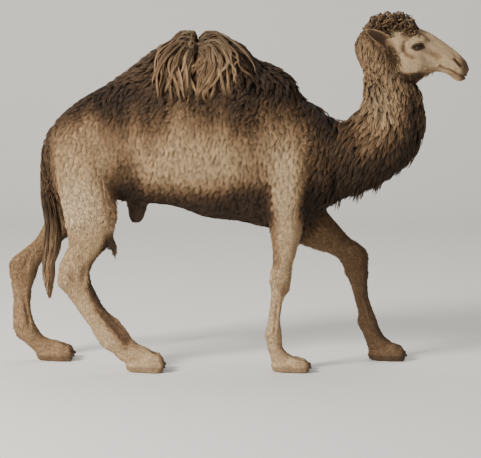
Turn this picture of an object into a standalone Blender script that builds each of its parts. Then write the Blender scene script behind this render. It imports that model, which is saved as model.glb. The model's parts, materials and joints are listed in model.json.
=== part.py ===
"""Dromedary camel (Camelus dromedarius), an adult bull in a winter coat, walking, at life size.

The head points along +X, the animal's left side is +Y, and the soles stand on z = 0.
Flesh is lofted from sections, fused into one closed body, and parted with thin cuts at
the joints. Wool that stands off the body, ears, eyes and nails are pieces of their own.
"""

import math

import bmesh
import bpy
import numpy as np
from mathutils import Matrix, Vector

# ---------------------------------------------------------------- driving sizes (metres)
GAP = 0.0004  # free space left by every cut
VOXEL = 0.008  # grain at which the flesh is fused
BODY_TRIANGLES = 3500
DETAIL = 0.0002  # how much smaller the triangles of the head stay
MOP_TRIANGLES = 640
CAP_TRIANGLES = 200

TRACK = 0.195  # from the mid plane to the middle of a foot
FOOT_LENGTH = 0.256
FOOT_WIDTH = 0.170
TOE_SPREAD = 0.043  # from the middle of a foot to the middle of a toe
NAIL_LENGTH = 0.038
EYE_RADIUS = 0.027
EYE_AT = (1.100, 0.080, 2.006)
EAR_ROOT = (0.915, 0.088, 2.035)
EAR_TIP = (0.772, 0.150, 2.118)
EAR_WIDTH = 0.036
PARTING = (-0.247, 2.090)  # x and z of the parting on top of the hump
MOP_REACH = (0.240, 0.262)  # how far the locks fall from the parting, along and across

RIGHT, LEFT = -1, 1

# ---------------------------------------------------------------- body sections
# Each row is one section through a form: the x and z of its upper (or front) end, the x
# and z of its lower (or rear) end, half its width, and how far out its middle lies.
TRUNK = [
    (-1.175, 1.470, -1.175, 1.300, 0.060, 0.0),  # buttocks
    (-1.140, 1.550, -1.155, 1.130, 0.130, 0.0),
    (-1.030, 1.650, -1.050, 1.060, 0.200, 0.0),  # croup
    (-0.850, 1.755, -0.850, 1.050, 0.240, 0.0),  # hips
    (-0.640, 1.790, -0.640, 1.035, 0.270, 0.0),  # flank
    (-0.400, 1.800, -0.400, 1.005, 0.300, 0.0),
    (-0.200, 1.800, -0.200, 0.938, 0.315, 0.0),  # widest ribs
    (0.000, 1.790, 0.000, 0.912, 0.308, 0.0),
    (0.180, 1.760, 0.180, 0.870, 0.282, 0.0),  # girth behind the elbows
    (0.360, 1.720, 0.350, 0.862, 0.248, 0.0),  # withers
    (0.500, 1.640, 0.500, 0.950, 0.212, 0.0),
    (0.600, 1.560, 0.600, 1.060, 0.165, 0.0),  # point of the breast
]
HUMP = [  # from the loins, over the hump and the wool before it, down to the withers
    (-0.980, 1.680, -0.960, 1.340, 0.110, 0.0),
    (-0.866, 1.752, -0.850, 1.260, 0.165, 0.0),
    (-0.741, 1.834, -0.730, 1.220, 0.205, 0.0),
    (-0.616, 1.930, -0.610, 1.200, 0.230, 0.0),
    (-0.520, 2.005, -0.520, 1.200, 0.242, 0.0),
    (-0.400, 2.060, -0.400, 1.200, 0.248, 0.0),
    (-0.240, 2.080, -0.240, 1.200, 0.250, 0.0),
    (-0.080, 2.065, -0.080, 1.200, 0.246, 0.0),
    (0.030, 2.035, 0.030, 1.200, 0.238, 0.0),
    (0.098, 1.945, 0.100, 1.200, 0.228, 0.0),
    (0.190, 1.915, 0.190, 1.220, 0.210, 0.0),
    (0.290, 1.862, 0.280, 1.260, 0.186, 0.0),
    (0.358, 1.790, 0.330, 1.320, 0.146, 0.0),
    (0.400, 1.690, 0.360, 1.400, 0.090, 0.0),
]
NECK = [  # from the breast to the nape; each row runs from the top line to the throat line
    (0.330, 1.620, 0.400, 1.090, 0.200, 0.0),
    (0.447, 1.682, 0.545, 1.075, 0.190, 0.0),
    (0.559, 1.590, 0.780, 1.090, 0.176, 0.0),
    (0.650, 1.558, 0.985, 1.215, 0.160, 0.0),
    (0.697, 1.600, 1.122, 1.350, 0.146, 0.0),
    (0.748, 1.645, 1.178, 1.500, 0.132, 0.0),
    (0.764, 1.715, 1.156, 1.645, 0.122, 0.0),
    (0.765, 1.800, 1.120, 1.735, 0.114, 0.0),
    (0.757, 1.880, 1.070, 1.790, 0.108, 0.0),
    (0.708, 1.970, 0.980, 1.880, 0.100, 0.0),
    (0.712, 2.050, 0.890, 1.980, 0.086, 0.0),
    (0.765, 2.115, 0.840, 2.050, 0.055, 0.0),
]
HEAD = [  # from the poll to the lips
    (0.775, 2.085, 0.770, 1.960, 0.060, 0.0),
    (0.830, 2.130, 0.800, 1.885, 0.086, 0.0),
    (0.930, 2.150, 0.880, 1.820, 0.097, 0.0),
    (1.030, 2.146, 0.985, 1.778, 0.099, 0.0),
    (1.110, 2.124, 1.080, 1.785, 0.092, 0.0),  # across the eyes
    (1.190, 2.090, 1.160, 1.825, 0.073, 0.0),
    (1.270, 2.038, 1.235, 1.846, 0.060, 0.0),
    (1.340, 1.985, 1.300, 1.828, 0.056, 0.0),
    (1.398, 1.936, 1.358, 1.800, 0.053, 0.0),
    (1.428, 1.890, 1.395, 1.798, 0.043, 0.0),
    (1.438, 1.860, 1.412, 1.818, 0.024, 0.0),
]
# The limbs' rows run from the front edge to the rear edge, and are reflected to their side.
FORE_STANDING = [  # the right foreleg, upright under the shoulder
    (0.430, 1.500, 0.220, 1.540, 0.060, 0.140),  # top of the shoulder blade
    (0.460, 1.340, 0.170, 1.350, 0.095, 0.170),
    (0.450, 1.150, 0.165, 1.150, 0.096, 0.188),  # point of the shoulder
    (0.420, 1.000, 0.175, 1.000, 0.082, 0.197),  # elbow
    (0.395, 0.870, 0.186, 0.870, 0.070, 0.200),
    (0.367, 0.765, 0.203, 0.765, 0.060, 0.198),  # forearm
    (0.345, 0.690, 0.204, 0.690, 0.056, 0.196),
    (0.337, 0.625, 0.190, 0.625, 0.062, 0.195),  # knee
    (0.324, 0.560, 0.192, 0.560, 0.058, 0.195),
    (0.298, 0.485, 0.196, 0.485, 0.045, 0.195),
    (0.274, 0.430, 0.192, 0.430, 0.040, 0.195),
    (0.268, 0.350, 0.179, 0.350, 0.039, 0.195),  # cannon
    (0.272, 0.285, 0.169, 0.285, 0.043, 0.195),
    (0.271, 0.225, 0.157, 0.225, 0.053, 0.195),  # fetlock
    (0.284, 0.140, 0.178, 0.150, 0.050, 0.195),
    (0.335, 0.100, 0.200, 0.050, 0.055, 0.195),
]
FORE_REACHING = [  # the left foreleg, swung forward
    (0.470, 1.500, 0.330, 1.540, 0.060, 0.140),
    (0.520, 1.330, 0.250, 1.330, 0.095, 0.165),
    (0.542, 1.130, 0.240, 1.030, 0.096, 0.185),
    (0.562, 0.968, 0.330, 0.790, 0.082, 0.194),  # elbow
    (0.642, 0.868, 0.470, 0.712, 0.067, 0.196),
    (0.702, 0.798, 0.560, 0.687, 0.060, 0.196),  # forearm
    (0.762, 0.760, 0.610, 0.662, 0.058, 0.195),
    (0.825, 0.697, 0.642, 0.628, 0.061, 0.195),  # knee
    (0.830, 0.620, 0.666, 0.578, 0.058, 0.195),
    (0.825, 0.530, 0.695, 0.515, 0.048, 0.195),
    (0.825, 0.450, 0.720, 0.445, 0.041, 0.195),
    (0.836, 0.392, 0.735, 0.385, 0.039, 0.195),  # cannon
    (0.872, 0.297, 0.754, 0.300, 0.043, 0.195),
    (0.893, 0.225, 0.753, 0.235, 0.053, 0.195),  # fetlock
    (0.928, 0.158, 0.793, 0.160, 0.050, 0.195),
    (0.980, 0.120, 0.825, 0.060, 0.055, 0.195),
]
HIND_LEADING = [  # the right hind leg, set down well forward
    (-0.780, 1.560, -1.040, 1.580, 0.070, 0.110),  # hip
    (-0.760, 1.380, -1.130, 1.380, 0.110, 0.140),
    (-0.760, 1.180, -1.125, 1.180, 0.112, 0.162),  # thigh
    (-0.738, 1.010, -1.085, 0.985, 0.096, 0.182),
    (-0.758, 0.890, -1.068, 0.890, 0.078, 0.192),  # stifle
    (-0.800, 0.790, -1.058, 0.790, 0.064, 0.192),
    (-0.878, 0.700, -1.098, 0.710, 0.058, 0.190),
    (-0.912, 0.625, -1.122, 0.630, 0.056, 0.188),
    (-0.901, 0.550, -1.132, 0.550, 0.054, 0.188),  # point of the hock
    (-0.870, 0.480, -1.077, 0.490, 0.046, 0.190),
    (-0.818, 0.390, -1.002, 0.387, 0.041, 0.192),
    (-0.738, 0.330, -0.937, 0.295, 0.041, 0.193),  # cannon
    (-0.688, 0.262, -0.897, 0.222, 0.046, 0.194),
    (-0.638, 0.185, -0.855, 0.160, 0.052, 0.195),  # fetlock
    (-0.580, 0.158, -0.790, 0.118, 0.054, 0.195),
    (-0.530, 0.118, -0.735, 0.060, 0.058, 0.195),
]
HIND_TRAILING = [  # the left hind leg, behind the body and about to leave the ground
    (-0.780, 1.560, -1.040, 1.580, 0.070, 0.110),
    (-0.800, 1.380, -1.150, 1.360, 0.110, 0.140),
    (-0.860, 1.180, -1.185, 1.150, 0.110, 0.162),
    (-0.930, 1.000, -1.213, 0.980, 0.094, 0.182),
    (-1.000, 0.880, -1.247, 0.860, 0.076, 0.192),  # stifle
    (-1.098, 0.780, -1.302, 0.775, 0.063, 0.192),
    (-1.196, 0.690, -1.392, 0.700, 0.058, 0.190),
    (-1.256, 0.610, -1.462, 0.640, 0.056, 0.188),  # point of the hock
    (-1.279, 0.545, -1.460, 0.560, 0.052, 0.188),
    (-1.306, 0.480, -1.450, 0.480, 0.044, 0.190),
    (-1.318, 0.390, -1.440, 0.390, 0.041, 0.192),  # cannon
    (-1.310, 0.300, -1.440, 0.300, 0.043, 0.193),
    (-1.286, 0.220, -1.445, 0.220, 0.052, 0.194),  # fetlock
    (-1.245, 0.160, -1.420, 0.152, 0.052, 0.195),
    (-1.190, 0.135, -1.360, 0.105, 0.053, 0.195),
    (-1.128, 0.115, -1.296, 0.045, 0.058, 0.195),
]
TAIL = [
    (-1.110, 1.560, -1.070, 1.440, 0.045, 0.0),  # root
    (-1.190, 1.500, -1.110, 1.420, 0.042, 0.0),
    (-1.228, 1.400, -1.150, 1.365, 0.037, 0.0),
    (-1.243, 1.260, -1.168, 1.250, 0.034, 0.0),
    (-1.243, 1.120, -1.160, 1.120, 0.036, 0.0),
    (-1.236, 1.000, -1.118, 1.000, 0.045, 0.0),
    (-1.232, 0.880, -1.085, 0.870, 0.056, 0.0),
    (-1.234, 0.760, -1.100, 0.740, 0.054, 0.0),
    (-1.240, 0.650, -1.148, 0.640, 0.042, 0.0),
    (-1.232, 0.545, -1.150, 0.545, 0.032, 0.0),
    (-1.206, 0.460, -1.170, 0.460, 0.018, 0.0),
    (-1.192, 0.418, -1.184, 0.418, 0.004, 0.0),  # tip of the tassel
]
TASSEL_TOP = 1.02
SHEATH = [
    (-0.545, 1.130, -0.745, 1.130, 0.080, 0.0),
    (-0.560, 1.020, -0.708, 1.035, 0.064, 0.0),
    (-0.575, 0.965, -0.700, 0.975, 0.052, 0.0),
    (-0.592, 0.925, -0.688, 0.930, 0.042, 0.0),
    (-0.615, 0.900, -0.670, 0.902, 0.024, 0.0),
]
LEGS = {
    "fore_right": (FORE_STANDING, RIGHT),
    "fore_left": (FORE_REACHING, LEFT),
    "hind_right": (HIND_LEADING, RIGHT),
    "hind_left": (HIND_TRAILING, LEFT),
}
FEET = {  # x of the middle of the foot, and how high its instep is
    "fore_right": (0.319, 0.100),
    "fore_left": (0.940, 0.130),
    "hind_right": (-0.585, 0.160),
    "hind_left": (-1.175, 0.136),
}


# ---------------------------------------------------------------- helpers
def clear_scene():
    for obj in list(bpy.data.objects):
        bpy.data.objects.remove(obj)


def material(name, colour, roughness):
    made = bpy.data.materials.new(name)
    made.use_nodes = True
    shader = made.node_tree.nodes["Principled BSDF"]
    shader.inputs["Base Color"].default_value = (*colour, 1.0)
    shader.inputs["Roughness"].default_value = roughness
    shader.inputs["Metallic"].default_value = 0.0
    return made


def new_object(name, bm, look=None):
    """Turns a bmesh into an object, with its faces pointing out."""
    bmesh.ops.recalc_face_normals(bm, faces=bm.faces)
    mesh = bpy.data.meshes.new(name)
    bm.to_mesh(mesh)
    bm.free()
    obj = bpy.data.objects.new(name, mesh)
    bpy.context.scene.collection.objects.link(obj)
    if look:
        mesh.materials.append(look)
    return obj


def skin_rings(bm, rings):
    """Joins rings of equal length into a closed form with flat ends."""
    for a, b in zip(rings, rings[1:]):
        for i in range(len(a)):
            j = (i + 1) % len(a)
            bm.faces.new((a[i], a[j], b[j], b[i]))
    bm.faces.new(rings[0])
    bm.faces.new(rings[-1])


def through(rows, steps):
    """Points on a Catmull-Rom curve through the rows, with steps between each two."""
    rows = np.asarray(rows, float)
    before = np.vstack([2 * rows[0] - rows[1], rows, 2 * rows[-1] - rows[-2]])
    found = []
    for i in range(len(rows) - 1):
        a, b, c, d = before[i : i + 4]
        for t in np.arange(steps) / steps:
            found.append(
                0.5
                * (
                    2 * b
                    + (c - a) * t
                    + (2 * a - 5 * b + 4 * c - d) * t**2
                    + (3 * b - 3 * c + d - a) * t**3
                )
            )
    found.append(rows[-1])
    return np.array(found)


def section_ring(row, side, sides, pinch):
    """One section as a ring of points. pinch is how much it narrows to each of its ends."""
    upper = Vector((row[0], 0.0, row[1]))
    lower = Vector((row[2], 0.0, row[3]))
    middle = (upper + lower) / 2 + Vector((0.0, side * row[5], 0.0))
    reach = (upper - lower) / 2
    ring = []
    for i in range(sides):
        turn = 2 * math.pi * i / sides
        along, across = math.sin(turn), math.cos(turn)
        narrow = pinch[0] if along > 0 else pinch[1]
        width = math.copysign(abs(across) ** narrow, across) * row[4]
        ring.append(middle + reach * along + Vector((0.0, width, 0.0)))
    return ring


def loft(bm, rows, side=1, sides=24, steps=4, pinch=(1.0, 1.0)):
    """Adds a closed form through the sections, with a pole at each end."""
    rings = [
        [bm.verts.new(p) for p in section_ring(row, side, sides, pinch)]
        for row in through(rows, steps)
    ]
    for a, b in zip(rings, rings[1:]):
        for i in range(sides):
            j = (i + 1) % sides
            bm.faces.new((a[i], a[j], b[j], b[i]))
    for ring in (rings[0], rings[-1]):
        pole = bm.verts.new(sum((v.co for v in ring), Vector()) / sides)
        for i in range(sides):
            bm.faces.new((ring[i], ring[(i + 1) % sides], pole))


def ball(bm, centre, radii, turn=0.0, lean=0.0, rings=14):
    """Adds an ellipsoid, turned about Z by turn and about Y by lean, in degrees."""
    place = (
        Matrix.Translation(centre)
        @ Matrix.Rotation(math.radians(turn), 4, "Z")
        @ Matrix.Rotation(math.radians(lean), 4, "Y")
        @ Matrix.Diagonal((*radii, 1.0))
    )
    bmesh.ops.create_uvsphere(
        bm, u_segments=2 * rings, v_segments=rings, radius=1.0, matrix=place
    )


def lock(bm, points, radius, flat=0.6, sides=8, steps=4, tip=0.12):
    """Adds one tapering lock of wool along a curve through the points."""
    line = [Vector(p) for p in through(points, steps)]
    rings = []
    for i, at in enumerate(line):
        share = i / (len(line) - 1)
        ahead = (line[min(i + 1, len(line) - 1)] - line[max(i - 1, 0)]).normalized()
        across = ahead.cross(Vector((0.0, 1.0, 0.0)))
        if across.length < 0.2:
            across = ahead.cross(Vector((1.0, 0.0, 0.0)))
        across.normalize()
        other = ahead.cross(across)
        swell = 0.75 + 0.5 * math.sin(math.pi * share)
        size = radius * swell * math.sqrt(max(1.0 - share**2.2, tip**2))
        ring = []
        for k in range(sides):
            turn = 2 * math.pi * k / sides
            edge = across * math.cos(turn) + other * flat * math.sin(turn)
            ring.append(bm.verts.new(at + edge * size))
        rings.append(ring)
    skin_rings(bm, rings)


def apply_modifiers(obj):
    graph = bpy.context.evaluated_depsgraph_get()
    mesh = bpy.data.meshes.new_from_object(obj.evaluated_get(graph))
    obj.modifiers.clear()
    old, obj.data = obj.data, mesh
    bpy.data.meshes.remove(old)
    return obj


def fuse(obj, voxel, smoothing):
    """Makes one skin round all the forms in the object, and rounds the creases."""
    fused = obj.modifiers.new("fuse", "REMESH")
    fused.mode = "VOXEL"
    fused.voxel_size = voxel
    soften = obj.modifiers.new("soften", "SMOOTH")
    soften.factor = 0.5
    soften.iterations = smoothing
    return apply_modifiers(obj)


def thin_out(obj, triangles, plain=""):
    """Reduces the object to about this many triangles, most of all in its plain group."""
    split = obj.modifiers.new("split", "TRIANGULATE")
    split.min_vertices = 4
    apply_modifiers(obj)
    fewer = obj.modifiers.new("fewer", "DECIMATE")
    fewer.decimate_type = "COLLAPSE"
    fewer.ratio = min(1.0, triangles / len(obj.data.polygons))
    fewer.vertex_group = plain
    fewer.vertex_group_factor = DETAIL
    return apply_modifiers(obj)


def cut(obj, cutter, operation="DIFFERENCE"):
    change = obj.modifiers.new("cut", "BOOLEAN")
    change.operation = operation
    change.solver = "EXACT"
    change.object = cutter
    return apply_modifiers(obj)


def grown(obj, by):
    """A copy of the object, larger by this much on every side."""
    bm = bmesh.new()
    bm.from_mesh(obj.data)
    bm.normal_update()
    moves = [v.normal * v.calc_shell_factor() * by for v in bm.verts]
    for v, move in zip(bm.verts, moves):
        v.co += move
    mesh = bpy.data.meshes.new(obj.name + "_grown")
    bm.to_mesh(mesh)
    bm.free()
    made = bpy.data.objects.new(mesh.name, mesh)
    bpy.context.scene.collection.objects.link(made)
    return made


def copy_of(obj, name):
    made = obj.copy()
    made.data = obj.data.copy()
    made.name = made.data.name = name
    bpy.context.scene.collection.objects.link(made)
    return made


def hull(name, points):
    """A convex block through the points."""
    bm = bmesh.new()
    for p in points:
        bm.verts.new(p)
    made = bmesh.ops.convex_hull(bm, input=bm.verts)
    loose = [v for v in made["geom_interior"] if isinstance(v, bmesh.types.BMVert)]
    bmesh.ops.delete(bm, geom=loose, context="VERTS")
    return new_object(name, bm)


def block(name, outline, low, high):
    """A block with this outline in x and z, from y = low to y = high."""
    return hull(name, [(x, y, z) for x, z in outline for y in (low, high)])


def remove(obj):
    bpy.data.objects.remove(obj)


def keep_largest(obj):
    """Deletes all but the largest of the object's separate pieces."""
    bm = bmesh.new()
    bm.from_mesh(obj.data)
    waiting = set(bm.verts)
    pieces = []
    while waiting:
        piece = set()
        front = [waiting.pop()]
        while front:
            v = front.pop()
            piece.add(v)
            for edge in v.link_edges:
                other = edge.other_vert(v)
                if other in waiting:
                    waiting.discard(other)
                    front.append(other)
        pieces.append(piece)
    pieces.sort(key=len)
    bmesh.ops.delete(bm, geom=[v for piece in pieces[:-1] for v in piece], context="VERTS")
    bm.to_mesh(obj.data)
    bm.free()


def carve(body, name, volume):
    """Takes the part of the body that lies in the volume off it, as an object of its own."""
    piece = cut(copy_of(body, name), volume, "INTERSECT")
    larger = grown(volume, GAP)
    cut(body, larger)
    remove(larger)
    remove(volume)
    return piece


# ---------------------------------------------------------------- flesh
def foot(bm, middle, side, instep):
    """A camel's foot: one broad pad under two toes."""
    y = side * TRACK
    half = FOOT_LENGTH / 2
    ball(bm, (middle - 0.010, y, 0.030), (half - 0.012, FOOT_WIDTH / 2 - 0.012, 0.052))
    ball(bm, (middle - 0.010, y, instep * 0.45), (half * 0.62, 0.056, instep * 0.55))
    for toe in (-1, 1):
        ball(
            bm,
            (middle + half * 0.38, y + toe * TOE_SPREAD, 0.034),
            (half * 0.62, 0.043, instep * 0.60),
            turn=toe * 7.0,
            lean=9.0,
        )


def face(bm):
    """The forms that stand out of the skull: brows, cheeks, nostrils and lips."""
    for side in (RIGHT, LEFT):
        ball(bm, (1.105, side * 0.070, 2.066), (0.056, 0.026, 0.024), lean=22.0)
        ball(bm, (1.050, side * 0.078, 1.905), (0.095, 0.030, 0.085), lean=-20.0)
        ball(bm, (1.385, side * 0.034, 1.905), (0.036, 0.024, 0.025), lean=40.0)
        ball(bm, (1.400, side * 0.022, 1.862), (0.034, 0.027, 0.026), lean=35.0)
    ball(bm, (1.368, 0.0, 1.815), (0.036, 0.036, 0.020), lean=12.0)


def beard(bm):
    """The locks that hang from the lower edge of the neck."""
    hanging = [  # x and z of the root, x and z of the tip
        (1.090, 1.330, 1.060, 1.240),
        (1.030, 1.260, 1.020, 1.180),
        (0.960, 1.215, 0.952, 1.135),
        (0.905, 1.190, 0.922, 1.108),
        (0.840, 1.140, 0.850, 1.078),
        (0.775, 1.130, 0.812, 1.048),
        (0.700, 1.120, 0.735, 1.085),
    ]
    for i, (x, z, tip_x, tip_z) in enumerate(hanging):
        y = 0.030 * math.sin(2.4 * i)
        middle = ((x + tip_x) / 2 - 0.012, y, (z + tip_z) / 2)
        lock(bm, [(x, y, z), middle, (tip_x, y * 0.6, tip_z)], 0.030)


def make_body(look):
    bm = bmesh.new()
    loft(bm, TRUNK, pinch=(1.1, 0.85))
    loft(bm, HUMP, pinch=(1.15, 1.0))
    loft(bm, NECK, pinch=(1.15, 1.0))
    loft(bm, HEAD, pinch=(0.9, 1.1))
    for name, (rows, side) in LEGS.items():
        loft(bm, rows, side, sides=20)
        middle, instep = FEET[name]
        foot(bm, middle, side, instep)
    for side in (RIGHT, LEFT):
        stifle = -0.800 if side == RIGHT else -1.055
        tuft = [(stifle, side * 0.200, 0.880), (stifle + 0.026, side * 0.205, 0.780)]
        lock(bm, tuft + [(stifle + 0.044, side * 0.205, 0.692)], 0.030)
    face(bm)
    beard(bm)
    body = fuse(new_object("body", bm, look), VOXEL, 6)
    keep_detail(body)
    thin_out(body, BODY_TRIANGLES, "plain")
    floor = block("floor", [(-2.0, -0.5), (2.0, -0.5), (2.0, 0.0), (-2.0, 0.0)], -1.0, 1.0)
    cut(body, floor)
    remove(floor)
    return body


def keep_detail(body):
    """Marks the plain parts of the body, which can do with larger triangles."""
    plain = body.vertex_groups.new(name="plain")
    for v in body.data.vertices:
        on_head = v.co.x > 0.85 and v.co.z > 1.78
        plain.add([v.index], 0.4 if on_head else 1.0, "REPLACE")


# ---------------------------------------------------------------- wool and hard parts
def make_mop(look):
    """The long locks that fall from a parting on the hump."""
    x, z = PARTING
    count = 22
    bm = bmesh.new()
    for i in range(count):
        turn = 2 * math.pi * (i + 0.5) / count
        long = 1.0 + 0.09 * math.sin(5.1 * i)
        away = Vector((math.cos(turn) * MOP_REACH[0], math.sin(turn) * MOP_REACH[1], 0.0))
        fall = [  # share of the reach, height over the parting
            (0.04, -0.050),
            (0.32, -0.002),
            (0.66, -0.040),
            (0.88, -0.125),
            (0.98, -0.225),
            (1.00, -0.345 * long),
        ]
        line = [Vector((x, 0.0, z + rise)) + away * share for share, rise in fall]
        lock(bm, line, 0.042, flat=0.8, tip=0.25)
    ball(bm, (x, 0.0, z - 0.26), (MOP_REACH[0] * 0.94, MOP_REACH[1] * 0.94, 0.255))
    mop = fuse(new_object("hump_mop", bm, look), VOXEL, 3)
    return thin_out(mop, MOP_TRIANGLES)


def make_cap(look):
    """The curls on top of the head."""
    bm = bmesh.new()
    crest = [  # x, z and size of the curls along the middle
        (0.812, 2.125, 0.038),
        (0.842, 2.165, 0.042),
        (0.895, 2.185, 0.048),
        (0.955, 2.190, 0.050),
        (1.012, 2.188, 0.050),
        (1.060, 2.165, 0.042),
        (1.092, 2.130, 0.032),
    ]
    for x, z, size in crest:
        ball(bm, (x, 0.0, z), (size, size, size), rings=10)
        for side in (RIGHT, LEFT):
            ball(bm, (x, side * 0.045, z - 0.008), (size * 0.9,) * 3, rings=10)
            ball(bm, (x, side * 0.080, z - 0.040), (size * 0.72,) * 3, rings=10)
    cap = fuse(new_object("hair_cap", bm, look), 0.006, 4)
    return thin_out(cap, CAP_TRIANGLES)


def make_ear(name, side, look):
    """A short cupped ear that points back and out."""
    root = Vector((EAR_ROOT[0], side * EAR_ROOT[1], EAR_ROOT[2]))
    tip = Vector((EAR_TIP[0], side * EAR_TIP[1], EAR_TIP[2]))
    ahead = (tip - root).normalized()
    out = Vector((0.25, side * 1.0, -0.10))
    out = (out - ahead * out.dot(ahead)).normalized()
    up = ahead.cross(out) * side
    sides = 8
    shares = (0.0, 0.15, 0.38, 0.62, 0.85, 1.0)
    bm = bmesh.new()
    rings = []
    for share in shares:
        wide = EAR_WIDTH * math.sin(math.pi * min(0.30 + 0.66 * share, 0.985)) ** 0.8
        thick = 0.017 * (1.0 - 0.75 * share)
        middle = root.lerp(tip, share) + out * 0.012 * math.sin(math.pi * share)
        ring = []
        for i in range(sides):
            turn = 2 * math.pi * i / sides
            across = math.cos(turn)
            cup = 0.018 * across**2 * (1.0 - 0.5 * share)
            at = middle + up * wide * across + out * (thick * math.sin(turn) + cup)
            ring.append(bm.verts.new(at))
        rings.append(ring)
    skin_rings(bm, rings)
    return new_object(name, bm, look)


def make_tail(look):
    bm = bmesh.new()
    loft(bm, TAIL, sides=8, steps=1)
    return new_object("tail", bm, look)


def make_sheath(look):
    bm = bmesh.new()
    loft(bm, SHEATH, sides=10, steps=1)
    return new_object("sheath", bm, look)


def make_chest_pad(look):
    bm = bmesh.new()
    ball(bm, (0.330, 0.0, 0.872), (0.115, 0.078, 0.042), rings=6)
    return new_object("chest_pad", bm, look)


def make_eye(name, side, look):
    bm = bmesh.new()
    ball(bm, (EYE_AT[0], side * EYE_AT[1], EYE_AT[2]), (EYE_RADIUS,) * 3, rings=5)
    return new_object(name, bm, look)


def make_nail(name, middle, side, toe, instep, look):
    x = middle + FOOT_LENGTH * 0.452
    y = side * TRACK + toe * (TOE_SPREAD + 0.010)
    bm = bmesh.new()
    ball(
        bm,
        (x, y, 0.034 + 0.06 * instep),
        (NAIL_LENGTH / 2, 0.016, 0.013),
        turn=toe * 7.0,
        lean=30.0,
        rings=3,
    )
    return new_object(name, bm, look)


# ---------------------------------------------------------------- where the body is parted
# Each block holds everything beyond one joint. Its outline is given in x and z on the
# side of the mid plane; the outer side of a block stands higher by its rise.
LIMB_CUTS = [
    ("fore_right_foot", RIGHT, 0.0, [(0.05, 0.165), (0.6, 0.165), (0.6, -0.1), (0.05, -0.1)]),
    ("fore_right_cannon", RIGHT, 0.0, [(0.05, 0.53), (0.6, 0.53), (0.6, 0.0), (0.05, 0.0)]),
    ("fore_right_forearm", RIGHT, 0.56, [(0.05, 0.8), (0.6, 0.8), (0.6, 0.0), (0.05, 0.0)]),
    ("fore_left_foot", LEFT, 0.0, [(0.65, 0.175), (1.2, 0.175), (1.2, -0.1), (0.65, -0.1)]),
    ("fore_left_cannon", LEFT, 0.0, [(0.6, 0.54), (1.2, 0.56), (1.2, 0.0), (0.6, 0.0)]),
    (
        "fore_left_forearm",
        LEFT,
        0.56,
        [(0.36, 0.60), (0.54, 0.95), (1.20, 0.95), (1.20, 0.0), (0.36, 0.0)],
    ),
    (
        "hind_right_foot",
        RIGHT,
        0.0,
        [(-0.60, 0.225), (-0.80, 0.08), (-0.80, -0.1), (-0.30, -0.1), (-0.30, 0.225)],
    ),
    (
        "hind_right_cannon",
        RIGHT,
        0.0,
        [(-0.40, 0.675), (-1.20, 0.395), (-1.20, 0.0), (-0.40, 0.0)],
    ),
    (
        "hind_right_shank",
        RIGHT,
        0.0,
        [(-0.60, 0.925), (-1.25, 0.925), (-1.25, 0.0), (-0.60, 0.0)],
    ),
    (
        "hind_right_thigh",
        RIGHT,
        0.60,
        [(-0.62, 0.98), (-1.25, 1.04), (-1.25, 0.5), (-0.62, 0.5)],
    ),
    (
        "hind_left_foot",
        LEFT,
        0.0,
        [(-1.10, 0.225), (-1.55, 0.075), (-1.55, -0.1), (-0.9, -0.1), (-0.9, 0.225)],
    ),
    (
        "hind_left_cannon",
        LEFT,
        0.0,
        [(-1.55, 0.515), (-1.00, 0.515), (-1.00, 0.0), (-1.55, 0.0)],
    ),
    (
        "hind_left_shank",
        LEFT,
        0.0,
        [(-1.30, 1.06), (-0.90, 0.72), (-0.90, 0.4), (-1.60, 0.4), (-1.60, 1.06)],
    ),
    (
        "hind_left_thigh",
        LEFT,
        0.60,
        [(-0.62, 0.98), (-1.32, 1.04), (-1.32, 0.5), (-0.62, 0.5)],
    ),
]
HEAD_CUT = [(0.735, 2.195), (1.120, 1.700), (1.700, 1.700), (1.700, 2.400), (0.735, 2.400)]
JAW_CUT = [
    (1.060, 1.800),
    (1.272, 1.893),  # corner of the mouth
    (1.372, 1.842),
    (1.500, 1.778),
    (1.500, 1.600),
    (1.060, 1.600),
]
NECK_CUT = [(0.640, 1.640), (0.605, 1.010), (1.700, 1.010), (1.700, 2.400), (0.560, 2.400)]
NAPE_CUT = [(0.600, 1.690), (1.300, 1.460), (1.300, 2.400), (0.600, 2.400)]
HUMP_CUT = [(-0.900, 1.780), (0.500, 1.780), (0.500, 2.400), (-0.900, 2.400)]
OUTSIDE = 0.8  # further from the mid plane than anything on the body
INSIDE = 0.03  # nearest the mid plane that a limb's block reaches
UPPER_EDGE = 0.25  # corners this near the top of a block count as its upper ones


def limb_block(name, side, rise, outline):
    """The block beyond a joint, whose upper corners rise away from the mid plane."""
    upper = max(z for x, z in outline) - UPPER_EDGE
    inner = [(x, side * INSIDE, z) for x, z in outline]
    outer = [(x, side * OUTSIDE, z + (rise if z > upper else 0.0)) for x, z in outline]
    return hull(name + "_block", inner + outer)


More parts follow.
